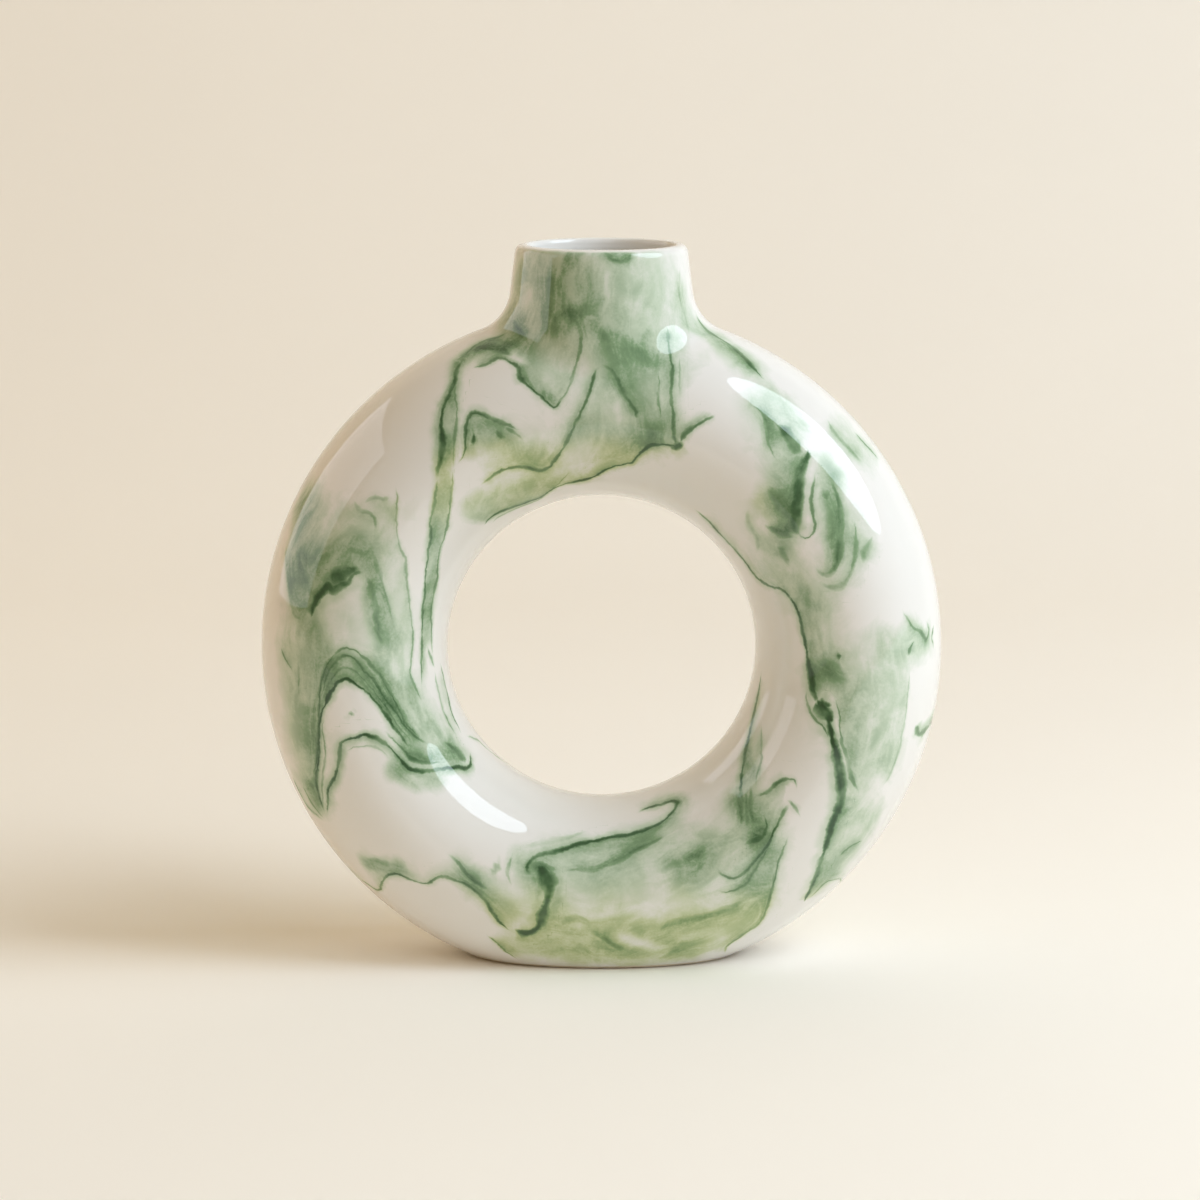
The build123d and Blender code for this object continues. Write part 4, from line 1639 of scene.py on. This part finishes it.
@dataclass
class GlazedVase:
    """The glazed clay: two ring halves, the neck collar and the foot, cut from one grown form."""

    form: VaseForm
    marbling: Marbling
    cell: float = 1.0
    foot_joint: float = 5.3
    neck_joint: float = 182.7
    crest: Span = (199.2, 199.9)
    skin_depth: float = 0.25

    def specs(self) -> tuple[PieceSpec, ...]:
        """The pieces, with the planes that they are cut at.

        Returns:
            One entry for each piece.
        """
        foot, neck, middle = (0, 0, self.foot_joint), (0, 0, self.neck_joint), (0, 0, 0)
        foot_up, foot_down = Cut(foot, (0, 0, 1)), Cut(foot, (0, 0, -1))
        neck_up, neck_down = Cut(neck, (0, 0, 1)), Cut(neck, (0, 0, -1))
        rear, front = Cut(middle, (0, 1, 0)), Cut(middle, (0, -1, 0))
        ring, glaze = (foot_down, neck_up), "marbled_glaze"
        return (
            PieceSpec("ring_front_half_glazed", ("ring_front_half", "hole_seam"), glaze, (*ring, rear)),
            PieceSpec("ring_rear_half_glazed", ("ring_rear_half", "outer_seam"), glaze, (*ring, front)),
            PieceSpec("neck_collar_glazed", ("neck_collar", "neck_seam"), glaze, (neck_down,)),
            PieceSpec("foot_glazed", ("foot", "foot_seam"), "bare_clay", (foot_up,)),
        )

    def cut(self, grown: bpy.types.Mesh, spec: PieceSpec) -> bpy.types.Mesh:
        """Cuts one piece out of the grown form and closes it.

        Args:
            grown: The whole form.
            spec: The piece.

        Returns:
            The closed mesh, in millimetres, its cut faces marked.
        """
        sheet = bmesh.new()
        sheet.from_mesh(grown)
        mark = sheet.faces.layers.int.new("cut_face")
        for cut in spec.cuts:
            rim = cut.make(sheet)
            filled = bmesh.ops.triangle_fill(
                sheet, use_beauty=True, use_dissolve=False, edges=rim, normal=cut.away
            )
            for part in filled["geom"]:
                if isinstance(part, bmesh.types.BMFace):
                    part[mark] = 1
        open_edges = sum(1 for edge in sheet.edges if not edge.is_manifold)
        mesh = bpy.data.meshes.new(spec.name)
        sheet.to_mesh(mesh)
        sheet.free()
        LOG.info("%s: %d faces, %d open edges", spec.name, len(mesh.polygons), open_edges)
        return mesh

    def corner_normals(self, mesh: bpy.types.Mesh, points: np.ndarray) -> np.ndarray:
        """Works out the normals of a piece: the form's own, and plain ones on the cut faces.

        Args:
            mesh: The piece, its cut faces marked.
            points: Its points, in millimetres.

        Returns:
            One normal for each corner of each face.
        """
        corners = np.zeros(len(mesh.loops), dtype=np.int32)
        mesh.loops.foreach_get("vertex_index", corners)
        counts = np.zeros(len(mesh.polygons), dtype=np.int32)
        mesh.polygons.foreach_get("loop_total", counts)
        marked = np.zeros(len(mesh.polygons), dtype=np.int32)
        mesh.attributes["cut_face"].data.foreach_get("value", marked)
        flat = np.zeros(len(mesh.polygons) * 3)
        mesh.polygons.foreach_get("normal", flat)
        plain = np.repeat(flat.reshape(-1, 3), counts, axis=0)
        on_cut = np.repeat(marked == 1, counts)
        return np.where(on_cut[:, None], plain, self.form.slope(self.form.clay, points)[corners])

    def dress(self, mesh: bpy.types.Mesh, finish: bpy.types.Material) -> None:
        """Paints the marbling into a piece's attributes and gives it the form's exact normals.

        Args:
            mesh: The piece, in millimetres; it is left in metres.
            finish: The glaze.
        """
        points = points_of(mesh)
        below_crest = 1.0 - ease(*self.crest, points[:, 2])
        outside = (np.abs(self.form.outside(points)) < self.skin_depth) * below_crest
        for name, values in self.marbling.paint(points, outside).items():
            kind, slot = ("FLOAT", "value") if values.ndim == 1 else ("FLOAT_VECTOR", "vector")
            attribute = mesh.attributes.new(name, kind, "POINT")
            attribute.data.foreach_set(slot, values.astype(np.float32).ravel())
        normals = self.corner_normals(mesh, points)
        mesh.attributes.remove(mesh.attributes["cut_face"])
        place_points(mesh, points * MILLIMETRE)
        smooth_faces(mesh, finish)
        mesh.normals_split_custom_set(normals)

    def build(self) -> list[bpy.types.Object]:
        """Grows the form, cuts it into its pieces and dresses them.

        Returns:
            The pieces.
        """
        finish = MarbledGlaze(channels=self.marbling.channels).build()
        grown = FormTree(self.form).grow(Layer.CLAY, self.cell, finish)
        pieces = []
        for spec in self.specs():
            mesh = self.cut(grown, spec)
            self.dress(mesh, finish)
            pieces.append(seat(spec.name, mesh, spec.nodes, spec.slot))
        bpy.data.meshes.remove(grown)
        return pieces


@dataclass
class LinerCoat:
    """The thin white coat over the inside, with its open edge just under the lip."""

    form: VaseForm
    cell: float = 2.4
    thickness_share: float = 0.9
    sharp_angle: float = radians(40.0)

    def build(self) -> list[bpy.types.Object]:
        """Grows the liner's face, cuts it open at the mouth and gives it its thickness.

        Returns:
            The liner, as a list of one piece.
        """
        finish = LinerGlaze().build()
        grown = FormTree(self.form).grow(Layer.LINER, self.cell, finish)
        sheet = bmesh.new()
        sheet.from_mesh(grown)
        Cut((0, 0, self.form.liner_top), (0, 0, 1)).make(sheet)
        sheet.to_mesh(grown)
        sheet.free()
        place_points(grown, points_of(grown) * MILLIMETRE)
        coat = bpy.data.objects.new("liner_coat_holder", grown)
        bpy.context.scene.collection.objects.link(coat)
        thick = coat.modifiers.new("thickness", "SOLIDIFY")
        thick.thickness = self.form.liner * self.thickness_share * MILLIMETRE
        thick.offset = 1.0
        mesh = bpy.data.meshes.new_from_object(coat.evaluated_get(bpy.context.evaluated_depsgraph_get()))
        bpy.data.objects.remove(coat)
        smooth_faces(mesh, finish)
        mesh.set_sharp_from_angle(angle=self.sharp_angle)
        return [seat("liner_coat", mesh, ("liner_glaze",), "liner_glaze")]


def seat(name: str, mesh: bpy.types.Mesh, nodes: tuple[str, ...], slot: str) -> bpy.types.Object:
    """Puts a finished mesh in the scene in place of its nodes.

    Args:
        name: The piece's name.
        mesh: Its mesh, in metres and in place.
        nodes: The nodes that it stands for.
        slot: The record's material slot; not used.

    Returns:
        The piece.
    """
    mesh.name = name
    piece = bpy.data.objects.new(name, mesh)
    bpy.context.scene.collection.objects.link(piece)
    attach(piece, ROOT_BODY)
    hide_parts(*nodes)
    return piece


class PanelShape(Enum):
    """The outline of a light panel."""

    SQUARE = "RECTANGLE"
    ROUND = "ELLIPSE"


class PanelReach(Enum):
    """What a light panel shows in: shading and gloss, or one of them."""

    ALL = "all"
    SHADING = "shading"
    GLOSS = "gloss"


@dataclass(frozen=True)
class Panel:
    """A soft light panel, placed by its direction from the vase in degrees and its distance in metres."""

    name: str
    azimuth: float
    elevation: float
    distance: float
    size: Span
    power: float
    colour: tuple[float, float, float]
    shape: PanelShape
    reach: PanelReach = PanelReach.ALL
    aim_height: float = 0.1

    def build(self) -> bpy.types.Object:
        """Makes the light, aimed at the middle of the vase.

        A panel for the shading alone isn't sampled by the gloss, so that it can't hide one behind it.

        Returns:
            The light object.
        """
        data = bpy.data.lights.new(self.name, "AREA")
        data.shape = self.shape.value
        data.size, data.size_y = self.size
        data.energy = self.power
        data.color = self.colour
        light = bpy.data.objects.new(self.name, data)
        turn, lift = radians(self.azimuth), radians(self.elevation)
        level, height = self.distance * cos(lift), self.aim_height + self.distance * sin(lift)
        light.location = (level * sin(turn), -level * cos(turn), height)
        light.rotation_euler = (pi / 2 - lift, 0.0, turn)
        data.cycles.use_multiple_importance_sampling = self.reach is not PanelReach.SHADING
        light.visible_diffuse = self.reach is not PanelReach.GLOSS
        light.visible_glossy = self.reach is not PanelReach.SHADING
        bpy.context.scene.collection.objects.link(light)
        return light


ROUND, SQUARE = PanelShape.ROUND, PanelShape.SQUARE
SHADING, GLOSS = PanelReach.SHADING, PanelReach.GLOSS


@dataclass
class Studio:
    """A pale sweep, light panels and soft fill from all round. Lengths are in metres.

    A round softbox and a front fill stand on the right, a warm window with its own cool sheen on the left,
    and a weak light hangs overhead.
    """

    colour: Colour = (0.985, 0.945, 0.875, 1.0)
    second_tone: float = 0.985
    clouds: Clouds = Clouds(3.0, 3.0, 0.5)
    cloud_span: Span = (0.3, 0.7)
    rough: float = 0.9
    front_edge: float = -0.42
    depth: float = 1.1
    bend: float = 0.5
    bend_steps: int = 24
    wall: float = 2.2
    half_width: float = 2.4
    fill: Colour = (1.0, 0.725, 0.385, 1.0)
    fill_strength: float = 0.30
    backdrop: Colour = (0.86, 0.79, 0.67, 1.0)
    panels: tuple[Panel, ...] = (
        Panel("softbox_right", 74.0, 38.0, 1.5, (1.04, 1.26), 16.6, (0.73, 0.86, 1.0), ROUND),
        Panel("front_right", 46.0, 34.0, 1.7, (1.5, 1.5), 10.4, (0.79, 0.90, 1.0), ROUND, SHADING),
        Panel("window_left", -100.0, 20.0, 1.6, (2.0, 1.15), 5.6, (1.0, 0.79, 0.55), SQUARE, SHADING),
        Panel("window_left_sheen", -100.0, 20.0, 1.6, (2.0, 1.15), 10.0, (0.84, 0.88, 1.0), SQUARE, GLOSS),
        Panel("overhead", 180.0, 68.0, 1.7, (1.8, 1.4), 2.4, (1.0, 0.88, 0.68), SQUARE),
    )

    def paper(self) -> bpy.types.Material:
        """Builds the sweep's material.

        Returns:
            A pale paper with two close tones.
        """
        draft = MaterialDraft.start("studio_paper")
        sketch, inputs = draft.sketch, draft.shader.inputs
        share = sketch.fade_in(sketch.cloud(draft.place, self.clouds), self.cloud_span)
        second = tuple(self.second_tone * part for part in self.colour[:3]) + (1.0,)
        sketch.feed(inputs["Base Color"], sketch.tint(share, self.colour, second))
        inputs["Roughness"].default_value = self.rough
        return draft.material

    def sweep(self) -> bpy.types.Object:
        """Builds the floor and backdrop as one bent sheet.

        Returns:
            The sheet.
        """
        bend_from = self.depth - self.bend
        profile = [(self.front_edge, 0.0), (0.0, 0.0), (bend_from, 0.0)]
        for i in range(1, self.bend_steps + 1):
            angle = i / self.bend_steps * pi / 2
            profile.append((bend_from + self.bend * sin(angle), self.bend - self.bend * cos(angle)))
        profile.append((self.depth, self.wall))
        points = [(side * self.half_width, y, z) for y, z in profile for side in (-1.0, 1.0)]
        faces = [(2 * i, 2 * i + 1, 2 * i + 3, 2 * i + 2) for i in range(len(profile) - 1)]
        mesh = bpy.data.meshes.new("studio_sweep")
        mesh.from_pydata(points, [], faces)
        smooth_faces(mesh, self.paper())
        sheet = bpy.data.objects.new("studio_sweep", mesh)
        bpy.context.scene.collection.objects.link(sheet)
        return sheet

    def surroundings(self) -> bpy.types.World:
        """Builds the soft fill, which the camera sees as a plain backdrop.

        Returns:
            The world.
        """
        world = bpy.data.worlds.new("studio_fill")
        world.use_nodes = True
        sketch, nodes = NodeSketch(world.node_tree), world.node_tree.nodes
        fill = nodes["Background"]
        fill.inputs["Color"].default_value = self.fill
        fill.inputs["Strength"].default_value = self.fill_strength
        backdrop = sketch.add("ShaderNodeBackground", Color=self.backdrop, Strength=1.0)
        seen = nodes.new("ShaderNodeLightPath").outputs["Is Camera Ray"]
        view = sketch.add("ShaderNodeMixShader")
        for socket, source in zip(view.inputs, (seen, fill.outputs[0], backdrop.outputs[0])):
            sketch.feed(socket, source)
        sketch.feed(nodes["World Output"].inputs["Surface"], view.outputs[0])
        return world

    def build(self) -> None:
        """Builds the sweep, the lights and the fill."""
        self.sweep()
        for panel in self.panels:
            panel.build()
        bpy.context.scene.world = self.surroundings()
        bpy.context.scene.view_settings.view_transform = "Standard"


def main() -> None:
    """Builds the vase and its studio, and notes the sizes."""
    logging.basicConfig(level=logging.INFO)
    form = VaseForm()
    viewpoint = Viewpoint()
    viewpoint.build()
    marbling = Marbling(form, viewpoint)
    marbling.lay()
    LOG.info("%d strokes in %d channels", len(marbling.strokes), max(marbling.channel_of) + 1)
    pieces = GlazedVase(form, marbling).build() + LinerCoat(form).build()
    for piece in pieces:
        LOG.info("%s: %d faces", piece.name, len(piece.data.polygons))
    Studio().build()


if __name__ == "__main__":
    main()
